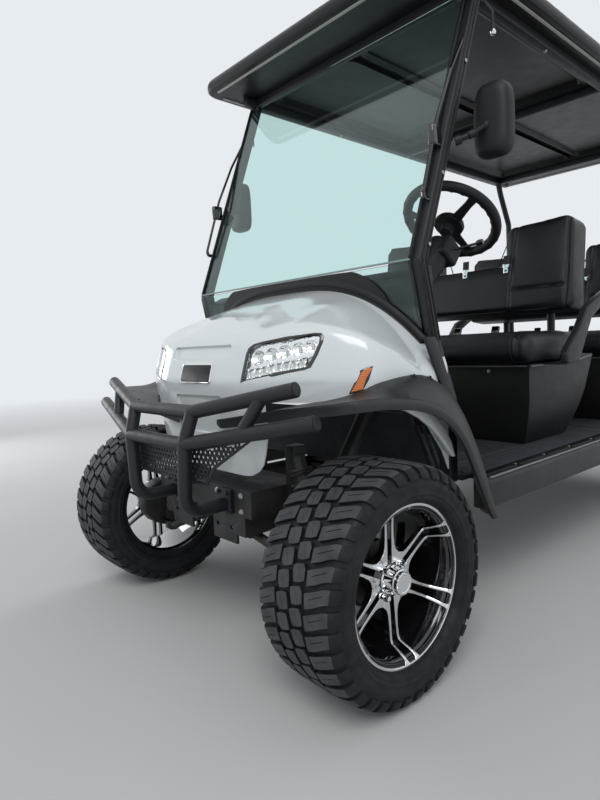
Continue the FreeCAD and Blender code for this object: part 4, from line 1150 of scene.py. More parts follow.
def make_prop():
    """The rod and clips that hold the upper pane."""
    pieces = []
    for side in (-1, 1):
        x = side * 0.531
        pieces.append(bent_tube([(x, 0.52, 1.812), (x, 0.405, 1.625), (x, 0.334, 1.477), (x, 0.264, 1.27)],
                                0.005, 0.12, 12, material=GLOSS))
        pieces.append(bent_tube([(x, 0.264, 1.27), (x, 0.268, 1.254), (x, 0.3, 1.254)], 0.0065, 0.008, 12,
                                material=GLOSS))
        pieces.append(block(x - 0.011, x + 0.008, 0.302, 0.345, 1.402, 1.456, 0.006, 3, GLOSS))
        x = side * 0.556
        pieces.append(bent_tube([(x, 0.545, 1.842), (x + side * 0.016, 0.56, 1.812),
                                 (x + side * 0.016, 0.562, 1.765)], 0.0045, 0.01, 12, material=COAT))
        pieces.append(spun([(-0.008, 0.0), (-0.007, 0.006), (0.0, 0.009), (0.007, 0.006), (0.008, 0.0)], 20,
                           (x + side * 0.016, 0.562, 1.757), (0, 0, 1), material=CHROME))
    return join(pieces, "prop")


def make_windshield():
    finish(make_seal(), "hood_seal", ["windshield_trim"], 30)
    for half in ("upper", "lower"):
        finish(from_node("windshield_" + half, 0.0, 2, PANE), "pane_" + half, ["windshield_" + half],
               10)
    edge = []
    for side in (-1, 1):
        edge.append(rod((side * 0.5145, 0.2205, 1.094), (side * 0.5145, 0.5125, 1.876), 0.0042, 10,
                        material=RUBBER))
    edge.append(rod((-0.514, 0.2215, 1.09), (0.514, 0.2215, 1.09), 0.003, 10, material=PANE_EDGE))
    finish(join(edge, "edge"), "pane_edges", angle=30)
    finish(make_posts(), "post_channels", ["windshield_posts"], 30)
    finish(make_prop(), "prop_rods", angle=30)


def pane_edge():
    p = Paint("pane_edge", rough=0.2, Coat_Weight=0.5)
    p.tint(p.noise(40, 1.0), (0.2, 0.3, 0.29), (0.28, 0.38, 0.36))
    return p.material


PANE_EDGE = pane_edge()
make_windshield()


# Brush guard.
GUARD_TOP = [(0.49, -0.183, 0.767), (0.165, -0.265, 0.705)]
GUARD_LOW = [(0.56, -0.188, 0.694), (0.155, -0.289, 0.621)]
GUARD_FOOT = (0.14, 0.43)
GUARD_RADIUS = 0.019
PLATE_EDGE = [(0.0, 0.606), (0.155, 0.606), (0.362, 0.644), (0.236, 0.56), (0.204, 0.511), (0.0, 0.511)]
HOLE_PITCH = 0.0155
HOLE_RADIUS = 0.0047


def on_line(line, x):
    a, b = Vector(line[0]), Vector(line[1])
    return a + (b - a) * ((x - a.x) / (b.x - a.x))


def across(half):
    return half + [(-x, y, z) for x, y, z in reversed(half)]


def make_guard():
    pieces = [bent_tube(across(GUARD_TOP), GUARD_RADIUS, 0.045, 28),
              bent_tube(across(GUARD_LOW), GUARD_RADIUS, 0.045, 28)]
    for side in (-1, 1):
        top, low = on_line(GUARD_TOP, 0.392), on_line(GUARD_LOW, 0.344)
        pieces.append(rod((side * top.x, top.y, top.z), (side * low.x, low.y, low.z), 0.0165, 28))
        x, z = GUARD_FOOT
        line = [(0.165, -0.265, 0.705), (0.155, -0.289, 0.621), (x, -0.289, z), (x, -0.158, z)]
        pieces.append(bent_tube([(side * a, b, c) for a, b, c in line], GUARD_RADIUS, 0.05, 28))
        for centre in (top, low):
            pieces.append(weld_ring(Vector((side * centre.x, centre.y, centre.z)), top - low, side))
        pieces.append(block(side * x - 0.03, side * x + 0.03, -0.1655, -0.15, 0.405, 0.475, 0.004, 3))
        for dx, dz in ((-0.02, -0.026), (0.02, -0.026), (-0.02, 0.026), (0.02, 0.026)):
            pieces.append(bolt((side * x + dx, -0.1655, 0.44 + dz), (0, -1, 0), 0.006))
    for end in (GUARD_TOP[0], GUARD_LOW[0]):
        for side in (-1, 1):
            pieces.append(end_cap((side * end[0], end[1], end[2]), Vector((side, 0.26, 0.2)), GUARD_RADIUS))
    return paint(join(pieces, "guard"), COAT)


def weld_ring(place, direction, side):
    """The bead where a strut meets a tube."""
    aim = Vector((side * direction.x, direction.y, direction.z)).normalized()
    bead = [(-0.0025, 0.016), (-0.0025, 0.0185), (0.0, 0.0195), (0.0025, 0.0185), (0.0025, 0.016)]
    return spun(bead, 28, tuple(place), tuple(aim))


def end_cap(place, direction, radius):
    aim = direction.normalized()
    return spun([(-0.004, 0.0), (-0.004, radius - 0.002), (0.0012, radius - 0.0015),
                 (0.003, radius - 0.004), (0.0035, 0.0)], 28, tuple(place), tuple(aim), material=DASH)


def bolt(place, direction, radius, material=None):
    """A flanged hexagon bolt head."""
    return spun([(-0.001, 0.0), (-0.001, radius * 1.35), (0.0012, radius * 1.3), (0.0016, radius * 0.95),
                 (0.0016 + radius * 0.75, radius * 0.9), (0.0018 + radius * 0.85, radius * 0.7),
                 (0.0018 + radius * 0.85, 0.0)], 6, place, direction, material=material or STEEL)


def inside_plate(x, z, margin):
    """Whether a hole fits in the plate's outline."""
    x = abs(x)
    if z > 0.606 + max(0, x - 0.155) * 0.184 - margin or z < 0.511 + margin:
        return False
    slope_low = 0.511 + (x - 0.204) * 0.049 / 0.032
    slope_high = 0.56 + (x - 0.236) * 0.084 / 0.126
    low_side = slope_low + margin * 1.8 if x < 0.236 else -1.0
    return z > low_side and z > slope_high + margin * 1.3


def plate_depth(x):
    return -0.289 + GUARD_RADIUS / math.cos(math.pi / 8) + max(0.0, abs(x) - 0.155) * 0.2494


def make_perforated_plate():
    cell = hole_cell()
    pieces = []
    rows = int(0.14 / (HOLE_PITCH * 0.866))
    for row in range(rows + 2):
        z = 0.519 + row * HOLE_PITCH * 0.866
        for column in range(-30, 31):
            x = (column + 0.5 * (row % 2)) * HOLE_PITCH
            if inside_plate(x, z, 0.0062):
                pieces.append(copy_of(cell, Matrix.Translation((x, 0, z))))
    bpy.data.objects.remove(cell)
    outline = PLATE_EDGE + [(-x, z) for x, z in reversed(PLATE_EDGE) if x]
    inner = scaled_toward(outline, 0.0085)
    front = [(x, -0.0022, z) for x, z in outline]
    rings = [front, [(x, -0.0022, z) for x, z in inner], [(x, 0.0022, z) for x, z in inner],
             [(x, 0.0022, z) for x, z in outline], front]
    pieces.append(loft(rings, False))
    sheet = join(pieces, "perforated")
    points = points_of(sheet)
    points[:, 1] += [plate_depth(x) + 0.0022 for x in points[:, 0]]
    put_points(sheet, points)
    return paint(sheet, COAT)


def scaled_toward(outline, inset):
    """An outline moved inwards by the same distance on every edge."""
    pts = [np.array(p) for p in outline]
    moved_in = []
    area = sum(a[0] * b[1] - b[0] * a[1] for a, b in zip(pts, pts[1:] + pts[:1]))
    turn = 1 if area > 0 else -1
    for before, here, after in zip(pts[-1:] + pts[:-1], pts, pts[1:] + pts[:1]):
        normals = []
        for a, b in ((before, here), (here, after)):
            edge = (b - a) / max(1e-9, np.linalg.norm(b - a))
            normals.append(np.array([-edge[1], edge[0]]) * turn)
        middle = normals[0] + normals[1]
        middle /= max(1e-9, np.linalg.norm(middle))
        reach = inset / max(0.35, float(middle @ normals[0]))
        moved_in.append(tuple(here + middle * reach))
    return moved_in


def hole_cell():
    """One cell of the sheet: a hexagon with a round hole."""
    hexagon, hole = [], []
    for n in range(12):
        angle = math.pi / 6 * n + math.pi / 6
        reach = HOLE_PITCH / 2 / (math.cos(math.pi / 6) if n % 2 == 0 else 1.0) * 1.004
        hexagon.append((reach * math.cos(angle), reach * math.sin(angle)))
        hole.append((HOLE_RADIUS * math.cos(angle), HOLE_RADIUS * math.sin(angle)))
    front = [(x, -0.0018, z) for x, z in hexagon]
    rings = [front, [(x, -0.0018, z) for x, z in hole], [(x, 0.0018, z) for x, z in hole],
             [(x, 0.0018, z) for x, z in hexagon], front]
    return loft(rings, False)


finish(make_guard(), "guard_tubes", ["brush_guard"], 30)
finish(make_perforated_plate(), "perforated_plate", ["guard_mesh"], 30)


# Flares: a sloping top that turns down in a lip, carried through stations round the arch.
# inner edge (y, z), ridge (y, z), inner x, outer x
FLARE_STATIONS = [((-0.125, 0.668), (-0.156, 0.669), 0.115, 0.125),
                  ((-0.125, 0.676), (-0.158, 0.678), 0.17, 0.187),
                  ((-0.12, 0.684), (-0.159, 0.688), 0.22, 0.25),
                  ((-0.11, 0.692), (-0.158, 0.699), 0.265, 0.318),
                  ((-0.1, 0.699), (-0.154, 0.71), 0.297, 0.39),
                  ((-0.09, 0.708), (-0.15, 0.721), 0.335, 0.48),
                  ((-0.075, 0.716), (-0.14, 0.731), 0.375, 0.56),
                  ((-0.058, 0.722), (-0.12, 0.738), 0.41, 0.61),
                  ((-0.036, 0.727), (-0.083, 0.7405), 0.438, 0.626),
                  ((-0.003, 0.741), (-0.032, 0.74), 0.485, 0.628),
                  ((0.039, 0.766), (0.02, 0.7355), 0.528, 0.63),
                  ((0.085, 0.778), (0.065, 0.7305), 0.53, 0.63),
                  ((0.131, 0.785), (0.104, 0.725), 0.535, 0.63),
                  ((0.175, 0.786), (0.145, 0.715), 0.54, 0.63),
                  ((0.222, 0.78), (0.193, 0.699), 0.545, 0.63),
                  ((0.275, 0.764), (0.235, 0.677), 0.545, 0.63),
                  ((0.325, 0.737), (0.27, 0.652), 0.545, 0.63), ((0.375, 0.693), (0.321, 0.6), 0.545, 0.63),
                  ((0.42, 0.632), (0.368, 0.53), 0.545, 0.63), ((0.465, 0.555), (0.415, 0.45), 0.545, 0.63),
                  ((0.505, 0.45), (0.452, 0.385), 0.545, 0.63), ((0.54, 0.345), (0.48, 0.345), 0.545, 0.63)]
FLARE_LIP = 0.029


def smooth_stations(table, each):
    """Stations on a smooth line through those of a table."""
    rows = np.array([[*u, *r, a, b] for u, r, a, b in table])
    line = []
    for k in range(len(rows) - 1):
        p0, p1, p2, p3 = (rows[min(max(k + j, 0), len(rows) - 1)] for j in (-1, 0, 1, 2))
        for step in range(each):
            t = step / each
            square = (2 * p0 - 5 * p1 + 4 * p2 - p3) * t ** 2
            cube = (3 * p1 - p0 - 3 * p2 + p3) * t ** 3
            line.append(0.5 * (2 * p1 + (p2 - p0) * t + square + cube))
    line.append(rows[-1])
    return line


def to_hub(place):
    """The direction from a place on the arch to the wheel's middle."""
    aim = np.array([0.0, TYRE_RADIUS]) - place
    return aim / np.linalg.norm(aim)


def make_front_flare():
    rings = []
    for uy, uz, ry, rz, near, far in smooth_stations(FLARE_STATIONS, 5):
        up, ridge = np.array([uy, uz]), np.array([ry, rz])
        down, under = to_hub(ridge), to_hub(up)

        def top(share, lift=0.0):
            return (near + (far - near) * share, *(up + (ridge - up) * share ** 1.5 - under * lift))

        def side(x, drop):
            return (far - x, *(ridge + down * drop))

        bottom = up + under * min(FLARE_LIP, 0.6 * np.linalg.norm(ridge - up) + 0.012)
        rings.append([top(0.0), top(0.25, 0.0015), top(0.5, 0.002), top(0.75, 0.0015), side(0.011, -0.0005),
                      side(0.005, 0.001), side(0.0012, 0.005), side(0.0, 0.012),
                      side(0.0, FLARE_LIP - 0.008), side(0.003, FLARE_LIP - 0.001), side(0.009, FLARE_LIP),
                      side(0.016, FLARE_LIP - 0.004), side(0.022, 0.015), (near, *bottom)])
    pieces = [loft(rings, True, FLARE)]
    for y, z, lean in ((0.165, 0.7775, 0.15), (0.235, 0.769, 0.35)):
        pieces.append(spun([(-0.003, 0.0), (-0.003, 0.0105), (0.0012, 0.01), (0.0022, 0.008),
                            (0.0016, 0.0055), (0.0016, 0.0)], 24, (0.563, y, z), (0.35, lean, 1),
                           material=DASH))
        pieces.append(bolt((0.563, y, z + 0.001), (0.35, lean, 1), 0.0042, DASH))
    return join(pieces, "flare")


def make_arch_lip():
    """The white edge of the body that shows under the flare."""
    edge = [(-0.12, 0.7235), (0.055, 0.7215), (0.13, 0.715), (0.19, 0.699), (0.245, 0.664), (0.29, 0.621),
            (0.318, 0.586), (0.336, 0.541), (0.326, 0.541), (0.3, 0.566), (0.262, 0.604), (0.222, 0.637),
            (0.174, 0.667), (0.12, 0.691), (0.055, 0.705), (-0.12, 0.712)]
    return plate(edge, 0.012, 0, 0.562, 0.002, 2, WHITE)


finish(both_sides(make_front_flare()), "front_flare_shells", ["front_flares"], 40)
finish(both_sides(make_arch_lip()), "arch_lips", angle=30)
finish(from_node("rear_flares", 0.006, 3, FLARE, 20), "rear_flare_shells", ["rear_flares"],
       40)


# Sills, floor and dash.
def make_sills():
    pieces = [from_node("side_sills", 0.007, 3, FLARE)]
    for side in (-1, 1):
        pieces.append(rod((side * 0.5945, 0.486, 0.4545), (side * 0.5945, 2.108, 0.4545), 0.0035, 12,
                          material=LINE))
        pieces.append(block(side * 0.571 - 0.0275, side * 0.571 + 0.0175, 0.486, 2.108, 0.4535, 0.457,
                            0.001, 2, DASH))
        for n in range(8):
            y = 0.49 + n * 0.2025
            pieces.append(block(side * 0.566 - 0.018, side * 0.566 + 0.014, y + 0.006, y + 0.19, 0.456,
                                0.4606, 0.0015, 2, SHELL))
            for k in range(15):
                at = y + 0.014 + 0.0122 * k
                pieces.append(block(side * 0.566 - 0.015, side * 0.566 + 0.011, at, at + 0.006, 0.46,
                                    0.4622, 0.0008, 1, SHELL))
            pieces.append(spun([(-0.001, 0.0), (-0.001, 0.0062), (0.0015, 0.0058), (0.0026, 0.0036),
                                (0.0028, 0.0)], 20, (side * 0.566, y - 0.0005, 0.46), (0, 0, 1),
                               material=STEEL))
    return join(pieces, "sills")


def make_floor_mat():
    pieces = [from_node("floor_pan", 0.002, 2, MAT)]
    for n in range(43):
        x = -0.504 + 0.024 * n
        pieces.append(block(x - 0.006, x + 0.006, 0.476, 0.99, 0.4595, 0.4628, 0.001, 1, MAT))
        pieces.append(block(x - 0.006, x + 0.006, 1.6, 1.826, 0.4595, 0.4628, 0.001, 1, MAT))
        slope = Matrix.Translation((0, 0.425, 0.461)) @ Matrix.Rotation(math.atan2(0.172, -0.088), 4, "X")
        rib = block(x - 0.006, x + 0.006, 0.012, 0.176, -0.003, 0.001, 0.001, 1, MAT)
        rib.data.transform(slope)
        pieces.append(rib)
    return join(pieces, "floor")


def line_grey():
    p = Paint("edge_line", rough=0.35)
    p.tint(p.noise(30, 3.0), (0.16, 0.165, 0.17), (0.24, 0.245, 0.25))
    p.bump(p.noise(300, 2.0), 0.2, 0.0004)
    return p.material


LINE = line_grey()


def dial(place, direction, radius, material):
    return spun([(-0.002, 0.0), (-0.002, radius), (0.002, radius), (0.0035, radius - 0.0015),
                 (0.0035, radius - 0.004), (0.002, radius - 0.005), (0.002, 0.0)], 40, place, direction,
                material=material)


def make_dash():
    panel = from_node("dashboard")
    cut(panel, plate([(0.52, 0.305), (0.338, 0.585), (0.338, 0.7), (0.6, 0.7), (0.6, 0.305)], 0.5, 2, 0.75))
    modify(panel, "BEVEL", width=0.009, segments=3, limit_method="ANGLE", angle_limit=math.radians(30))
    pieces = [paint(panel, DASH)]
    face = 0.572
    z, wide, high = 0.955, 0.02, 0.015
    for x in (0.15, 0.105):
        pieces.append(block(x - wide - 0.003, x + wide + 0.003, face - 0.003, face + 0.0015,
                            z - high - 0.003, z + high + 0.003, 0.001, 2, SHELL))
        pieces.append(block(x - wide, x + wide, face - 0.002, face + 0.0045, z - high, z + high,
                            0.002, 2, GLOSS))
    pieces.append(dial((0.05, face, 0.955), (0, 1, 0), 0.017, CHROME))
    pieces.append(dial((0.05, face, 0.955), (0, 1, 0), 0.0125, GLOSS))
    pieces.append(block(0.0475, 0.0525, face + 0.002, face + 0.006, 0.946, 0.964, 0.001, 2, STEEL))
    for z in (0.89, 1.05):
        pieces.append(spun([(0.0, 0.0), (0.0, 0.005), (0.0015, 0.0045), (0.002, 0.0)], 20,
                           (-0.47, face - 0.012, z), (0, 1, 0), material=STEEL))
    return join(pieces, "dash")


WHEEL_CENTRE = Vector((0.28, 0.78, 1.3))
COLUMN_LEAN = math.radians(53.0)
COLUMN_TURN = Matrix.Rotation(COLUMN_LEAN - math.pi / 2, 4, "X")


def make_column():
    """The bare column with its moulded shroud, gear and lever."""
    pieces = [from_node("steering_column", 0.002, 3, CHASSIS)]
    along = Vector((0, math.cos(COLUMN_LEAN), math.sin(COLUMN_LEAN)))
    shroud = [(-0.335, 0.025), (-0.33, 0.033), (-0.245, 0.036), (-0.215, 0.044), (-0.15, 0.047),
              (-0.112, 0.044), (-0.106, 0.036), (-0.106, 0.0245)]
    pieces.append(spun(shroud, 48, tuple(WHEEL_CENTRE), tuple(along), DASH))
    outward(modify(pieces[-1], "SOLIDIFY", thickness=0.0015, offset=-1))
    box_at = WHEEL_CENTRE - along * 0.15
    switch = block(-0.052, 0.052, -0.044, 0.046, -0.04, 0.04, 0.014, 4, DASH)
    switch.data.transform(Matrix.Translation(box_at + Vector((0.01, 0.01, 0.0))) @ COLUMN_TURN)
    pieces.append(switch)
    knob = box_at + Vector((0.055, 0.035, 0.0))
    pieces.append(rod(box_at + Vector((0.03, 0.01, 0)), tuple(knob + Vector((0.075, 0.01, 0.015))), 0.0045,
                      16, material=GLOSS))
    pieces.append(spun([(-0.012, 0.0), (-0.011, 0.008), (0.0, 0.0105), (0.012, 0.0085), (0.014, 0.0)], 24,
                       tuple(knob + Vector((0.085, 0.011, 0.017))), (1, 0.1, 0.2), material=GLOSS))
    return join(pieces, "column")


def make_steering_wheel():
    """Rim, three spokes, hub pad."""
    pieces = []
    rim = add(bpy.ops.mesh.primitive_torus_add, major_radius=0.162, minor_radius=0.0175, major_segments=96,
              minor_segments=24)
    points = points_of(rim)
    turn = np.arctan2(points[:, 1], points[:, 0])
    swell = 1 + 0.1 * np.clip(np.cos(turn * 24), -0.2, 1) * (points[:, 2] < -0.004)
    centre = np.stack([0.162 * np.cos(turn), 0.162 * np.sin(turn), np.zeros(len(points))], 1)
    put_points(rim, centre + (points - centre) * swell[:, None])
    pieces.append(paint(rim, DASH))
    for angle in (90, 210, 330):
        a = math.radians(angle)
        outline = [(0.02, -0.024), (0.06, -0.018), (0.12, -0.014), (0.166, -0.018), (0.166, 0.018),
                   (0.12, 0.014), (0.06, 0.018), (0.02, 0.024)]
        spoke = plate(outline, 0.008, 2, -0.026, 0.0025, 3, DASH)
        points = points_of(spoke)
        reach = held((points[:, 0] - 0.05) / 0.11)
        points[:, 2] += 0.02 * reach ** 1.4
        put_points(spoke, points)
        spoke.data.transform(Matrix.Rotation(a, 4, "Z"))
        pieces.append(spoke)
    hub = spun([(-0.06, 0.0), (-0.06, 0.022), (-0.034, 0.026), (-0.03, 0.052), (-0.016, 0.054),
                (-0.008, 0.05), (-0.004, 0.044), (-0.0035, 0.0)], 64, direction=(0, 0, 1), material=DASH)
    pieces.append(hub)
    pieces.append(spun([(-0.004, 0.03), (-0.004, 0.034), (-0.002, 0.033), (-0.002, 0.031)], 64,
                       direction=(0, 0, 1), material=GLOSS))
    wheel = join(pieces, "wheel")
    wheel.data.transform(Matrix.Translation(WHEEL_CENTRE) @ COLUMN_TURN)
    return wheel


finish(make_sills(), "sill_covers", ["side_sills"], 30)
finish(make_floor_mat(), "floor_mat", ["floor_pan"], 30)
finish(make_dash(), "dash_panel", ["dashboard"], 30)
finish(make_column(), "column_and_shroud", ["steering_column"], 30)
finish(make_steering_wheel(), "steering_rim", ["steering_wheel"], 40, "steering_wheel")
finish(from_node("pedals", 0.003, 2, CHASSIS), "pedal_pads", ["pedals"], 30)


# Rear body, tray, lamps and bumper.
def make_tray():
    pieces = [from_node("cargo_tray", 0.004, 3, SHELL)]
    for n in range(17):
        x = -0.384 + 0.048 * n
        pieces.append(block(x - 0.008, x + 0.008, 2.446, 2.806, 0.7055, 0.7095, 0.0015, 2, SHELL))
    pieces.append(rod((-0.428, 2.829, 0.802), (0.428, 2.829, 0.802), 0.004, 12, material=SHELL))
    return join(pieces, "tray")


def make_tail_lamps():
    pieces = []
    for side in (-1, 1):
        x = side * 0.455
        pieces.append(block(x - 0.028, x + 0.028, 2.858, 2.868, 0.596, 0.724, 0.004, 3, GLOSS))
        pieces.append(block(x - 0.024, x + 0.024, 2.86, 2.8715, 0.638, 0.719, 0.003, 3, RED))
        pieces.append(block(x - 0.024, x + 0.024, 2.86, 2.8715, 0.601, 0.634, 0.003, 3, CHIP))
    return join(pieces, "tail")


def make_bumper():
    pieces = [from_node("rear_bumper", 0.008, 3, FLARE)]
    for side in (-1, 1):
        for x in (0.36, 0.3):
            pieces.append(bolt((side * x, 2.907, 0.45), (0, 1, 0), 0.007))
    return join(pieces, "bumper")


finish(from_node("rear_body", 0.012, 4, WHITE, 40), "rear_shell", ["rear_body"], 30)
finish(make_tray(), "tray_liner", ["cargo_tray"], 30)
finish(make_tail_lamps(), "tail_lamps", ["tail_lights"], 30)
finish(make_bumper(), "bumper_cover", ["rear_bumper"], 30)


# Roof and its frame.
def roof_outline(x_half, y0, y1, corner, steps=10):
    """A rectangle with round corners, as (x, y)."""
    ring = []
    for cx, cy, start in ((x_half - corner, y1 - corner, 0), (-x_half + corner, y1 - corner, 90),
                          (-x_half + corner, y0 + corner, 180), (x_half - corner, y0 + corner, 270)):
        for k in range(steps + 1):
            a = math.radians(start + 90 * k / steps)
            ring.append((cx + corner * math.cos(a), cy + corner * math.sin(a)))
    return ring


ROOF_FRONT = 0.318


def make_roof():
    """A moulded shell: a rolled edge, a crowned top, and a pressed underside with two wells."""
    def ring(inset, z, crown=0.0):
        outline = roof_outline(0.591 - inset, ROOF_FRONT + inset, 2.75 - inset,
                               max(0.012, 0.06 - inset * 0.6))
        return [(x, y, z + crown * (1 - (x / 0.6) ** 2)) for x, y in outline]

    levels = [(0.036, 1.912), (0.016, 1.9105), (0.008, 1.912), (0.0025, 1.917), (0.0, 1.924), (0.0, 1.937),
              (0.002, 1.945), (0.0065, 1.9525), (0.013, 1.959), (0.022, 1.964), (0.036, 1.9675),
              (0.06, 1.9695), (0.12, 1.9705), (0.3, 1.971), (0.46, 1.971)]
    rings = [ring(0.46, 1.936), ring(0.036, 1.93)] + [ring(inset, z) for inset, z in levels]
    pieces = [loft(rings, True, ROOF)]
    for y0, y1 in ((0.6, 1.52), (1.63, 2.48)):
        for x0, x1 in ((-0.448, -0.02), (0.02, 0.448)):
            outline = roof_outline((x1 - x0) / 2, y0, y1, 0.04, 6)
            mid_x, mid_y = (x0 + x1) / 2, (y0 + y1) / 2
            tub = []
            for k, z in ((1.03, 1.912), (1.03, 1.916), (0.99, 1.916), (0.95, 1.933), (0.9, 1.9345)):
                squeeze = 1 - (1 - k) * 0.5
                tub.append([(mid_x + x * k, mid_y + (y - mid_y) * squeeze, z) for x, y in outline])
            pieces.append(loft(tub, False, ROOF))
    pieces.append(underside())
    for side in (-1, 1):
        pieces.append(block(side * 0.556 - 0.005, side * 0.556 + 0.005, 0.4, 2.69, 1.9065, 1.9125, 0.0015,
                            2, PALE_STRIP))
    pieces.append(block(-0.52, 0.52, 0.3445, 0.3545, 1.9065, 1.9125, 0.0015, 2, PALE_STRIP))
    pieces.append(block(-0.52, 0.52, 2.705, 2.715, 1.9065, 1.9125, 0.0015, 2, PALE_STRIP))
    return join(pieces, "roof")


def pale_strip():
    p = Paint("pale_strip", rough=0.4)
    p.tint(p.noise(20, 3.0), (0.38, 0.37, 0.35), (0.5, 0.49, 0.47))
    p.bump(p.noise(200, 2.0), 0.2, 0.0004)
    return p.material


PALE_STRIP = pale_strip()


def underside():
    """The lower skin: flat rim, sunk wells with sloping sides."""

    def shape(u, v):
        x = -0.565 + 1.13 * u
        y = 0.345 + 2.385 * v
        sink = 0.0
        for y0, y1 in ((0.6, 1.52), (1.63, 2.48)):
            reach = min(0.448 - abs(x), y - y0, y1 - y)
            sink = max(sink, 0.022 * min(1.0, max(0.0, reach / 0.02)))
        if sink == 0.0:
            ridge = abs(abs(x) - 0.475)
            sink = 0.004 * max(0.0, 1 - ridge / 0.008) if 0.45 < y < 2.66 else 0.0
        return (x, y, 1.9118 + sink)

    sheet = sheet_of(118, 238, shape)
    modify(sheet, "SOLIDIFY", thickness=0.0025, offset=0)
    return paint(outward(sheet), ROOF)


def square_tube(a, b, half=0.015, bevel=0.004):
    lo = [min(p, q) - (half if p == q else 0) for p, q in zip(a, b)]
    hi = [max(p, q) + (half if p == q else 0) for p, q in zip(a, b)]
    return block(lo[0], hi[0], lo[1], hi[1], lo[2], hi[2], bevel, 3, COAT)


def make_roof_frame():
    pieces = []
    for side in (-1, 1):
        pieces.append(square_tube((side * 0.5, 0.47, 1.897), (side * 0.5, 2.64, 1.897)))
        pieces.append(bent_tube([(side * 0.5, 2.53, 1.893), (side * 0.5, 2.56, 1.822),
                                 (side * 0.5, 2.664, 1.64), (side * 0.5, 2.7, 0.801)], 0.017, 0.05, 28,
                                material=COAT))
        pieces.append(spun([(0.0, 0.0), (0.0, 0.032), (0.006, 0.032), (0.008, 0.03), (0.01, 0.022),
                            (0.01, 0.0)], 40, (side * 0.5, 2.7, 0.8005), (0, 0, 1), material=COAT))
        for y in (0.535, 1.05, 1.575, 2.1, 2.53):
            pieces.append(bolt((side * 0.5, y, 1.8822), (0, 0, -1), 0.006))
    for y in (0.535, 1.575, 2.53):
        pieces.append(square_tube((-0.5, y, 1.897), (0.5, y, 1.897)))
    return join(pieces, "frame")


def make_mirror():
    """A rounded shell on a two-part arm, its glass to the rear."""
    def ring(y, grow):
        outline = []
        for k in range(48):
            a = 2 * math.pi * k / 48
            c, s = math.cos(a), math.sin(a)
            p = 0.5
            x = math.copysign(abs(c) ** p, c) * (0.056 + grow) * (1 - 0.08 * s)
            z = math.copysign(abs(s) ** p, s) * (0.102 + grow)
            outline.append((0.606 + x, y, 1.486 + z))
        return outline

    shell = loft([ring(0.47, -0.03), ring(0.4715, -0.02), ring(0.476, -0.01), ring(0.484, -0.003),
                  ring(0.496, -0.0005), ring(0.51, 0.0), ring(0.518, -0.0008), ring(0.5198, -0.003),
                  ring(0.5198, -0.0055), ring(0.515, -0.007)], True, DASH)
    glass = loft([ring(0.5145, -0.0072), ring(0.5172, -0.0072), ring(0.5176, -0.01)], True, CHROME)
    arm = bent_tube([(0.548, 0.408, 1.428), (0.576, 0.43, 1.44), (0.598, 0.474, 1.468)], 0.0085, 0.02, 20,
                    material=DASH)
    collar = rod((0.541, 0.401, 1.425), (0.556, 0.413, 1.43), 0.0135, 24, 0.002, DASH)
    ball = add(bpy.ops.mesh.primitive_uv_sphere_add, radius=0.014, segments=24, ring_count=14)
    ball.data.transform(Matrix.Translation((0.598, 0.474, 1.468)))
    elbow = rod((0.571, 0.424, 1.437), (0.585, 0.44, 1.446), 0.0115, 20, 0.002, DASH)
    return join([shell, glass, arm, collar, paint(ball, DASH), elbow], "mirror")


finish(make_roof(), "roof_shell", ["roof"], 30)
finish(make_roof_frame(), "roof_tubes", ["roof_frame"], 30)
finish(both_sides(make_mirror()), "mirror_shells", ["side_mirrors"], 30)


# Seats. The first row is made and copied to the second.
ROW_PITCH = 0.836
CUSHION_PRESSURE = 4.0
CUSHION_FRAMES = 20


def round_box(x_half, y0, y1, z0, z1, corner, voxel):
    obj = block(-x_half, x_half, y0, y1, z0, z1, corner, 5)
    modify(obj, "REMESH", mode="VOXEL", voxel_size=voxel)
    return obj


def swell(obj, cap):
    """Blows the form up like a cushion, no point further than cap."""
    before = points_of(obj)
    modifier = obj.modifiers.new("cloth", "CLOTH")
    modifier.settings.use_pressure = True
    modifier.settings.uniform_pressure_force = CUSHION_PRESSURE
    modifier.settings.effector_weights.gravity = 0
    scene = bpy.context.scene
    for step in range(1, CUSHION_FRAMES + 1):
        scene.frame_set(step)
    only(obj)
    bpy.ops.object.modifier_apply(modifier=modifier.name)
    after = points_of(obj)
    move = after - before
    length = np.linalg.norm(move, axis=1)
    limit = np.minimum(1.0, cap / np.maximum(length, 1e-9))
    put_points(obj, before + move * limit[:, None])
    scene.frame_set(1)
    return obj


def make_cushion():
    obj = round_box(0.488, 0.937, 1.392, 0.776, 0.884, 0.042, 0.01)
    swell(obj, 0.012)
    modify(obj, "SUBSURF", levels=1, render_levels=1)
    points = points_of(obj)
    w = np.abs(points[:, 0])
    groove = 0.0055 * np.exp(-((w - 0.426) / 0.0055) ** 2)
    upper = points[:, 2] > 0.79
    points[:, 2] -= np.where(upper & (points[:, 1] > 0.945), groove, 0)
    points[:, 1] += np.where(upper & (points[:, 1] < 0.96), groove, 0)
    crease = 0.004 * np.exp(-((points[:, 1] - 1.165) / 0.006) ** 2)
    points[:, 2] -= np.where(upper & (w < 0.424), crease, 0)
    lo, hi = points.min(0), points.max(0)
    target_lo, target_hi = np.array([-0.5, 0.925, 0.7723]), np.array([0.5, 1.4, 0.895])
    points = target_lo + (points - lo) / (hi - lo) * (target_hi - target_lo)
    put_points(obj, points)
    return paint(obj, VINYL)


def surface_line(obj, starts, direction, lift):
    """Where rays from starts meet the form, lifted towards them."""
    aim = Vector(direction).normalized()
    line = []
    for start in starts:
        hit, place, normal, face = obj.ray_cast(Vector(start), aim)
        if hit:
            line.append(tuple(place - aim * lift))
    return line


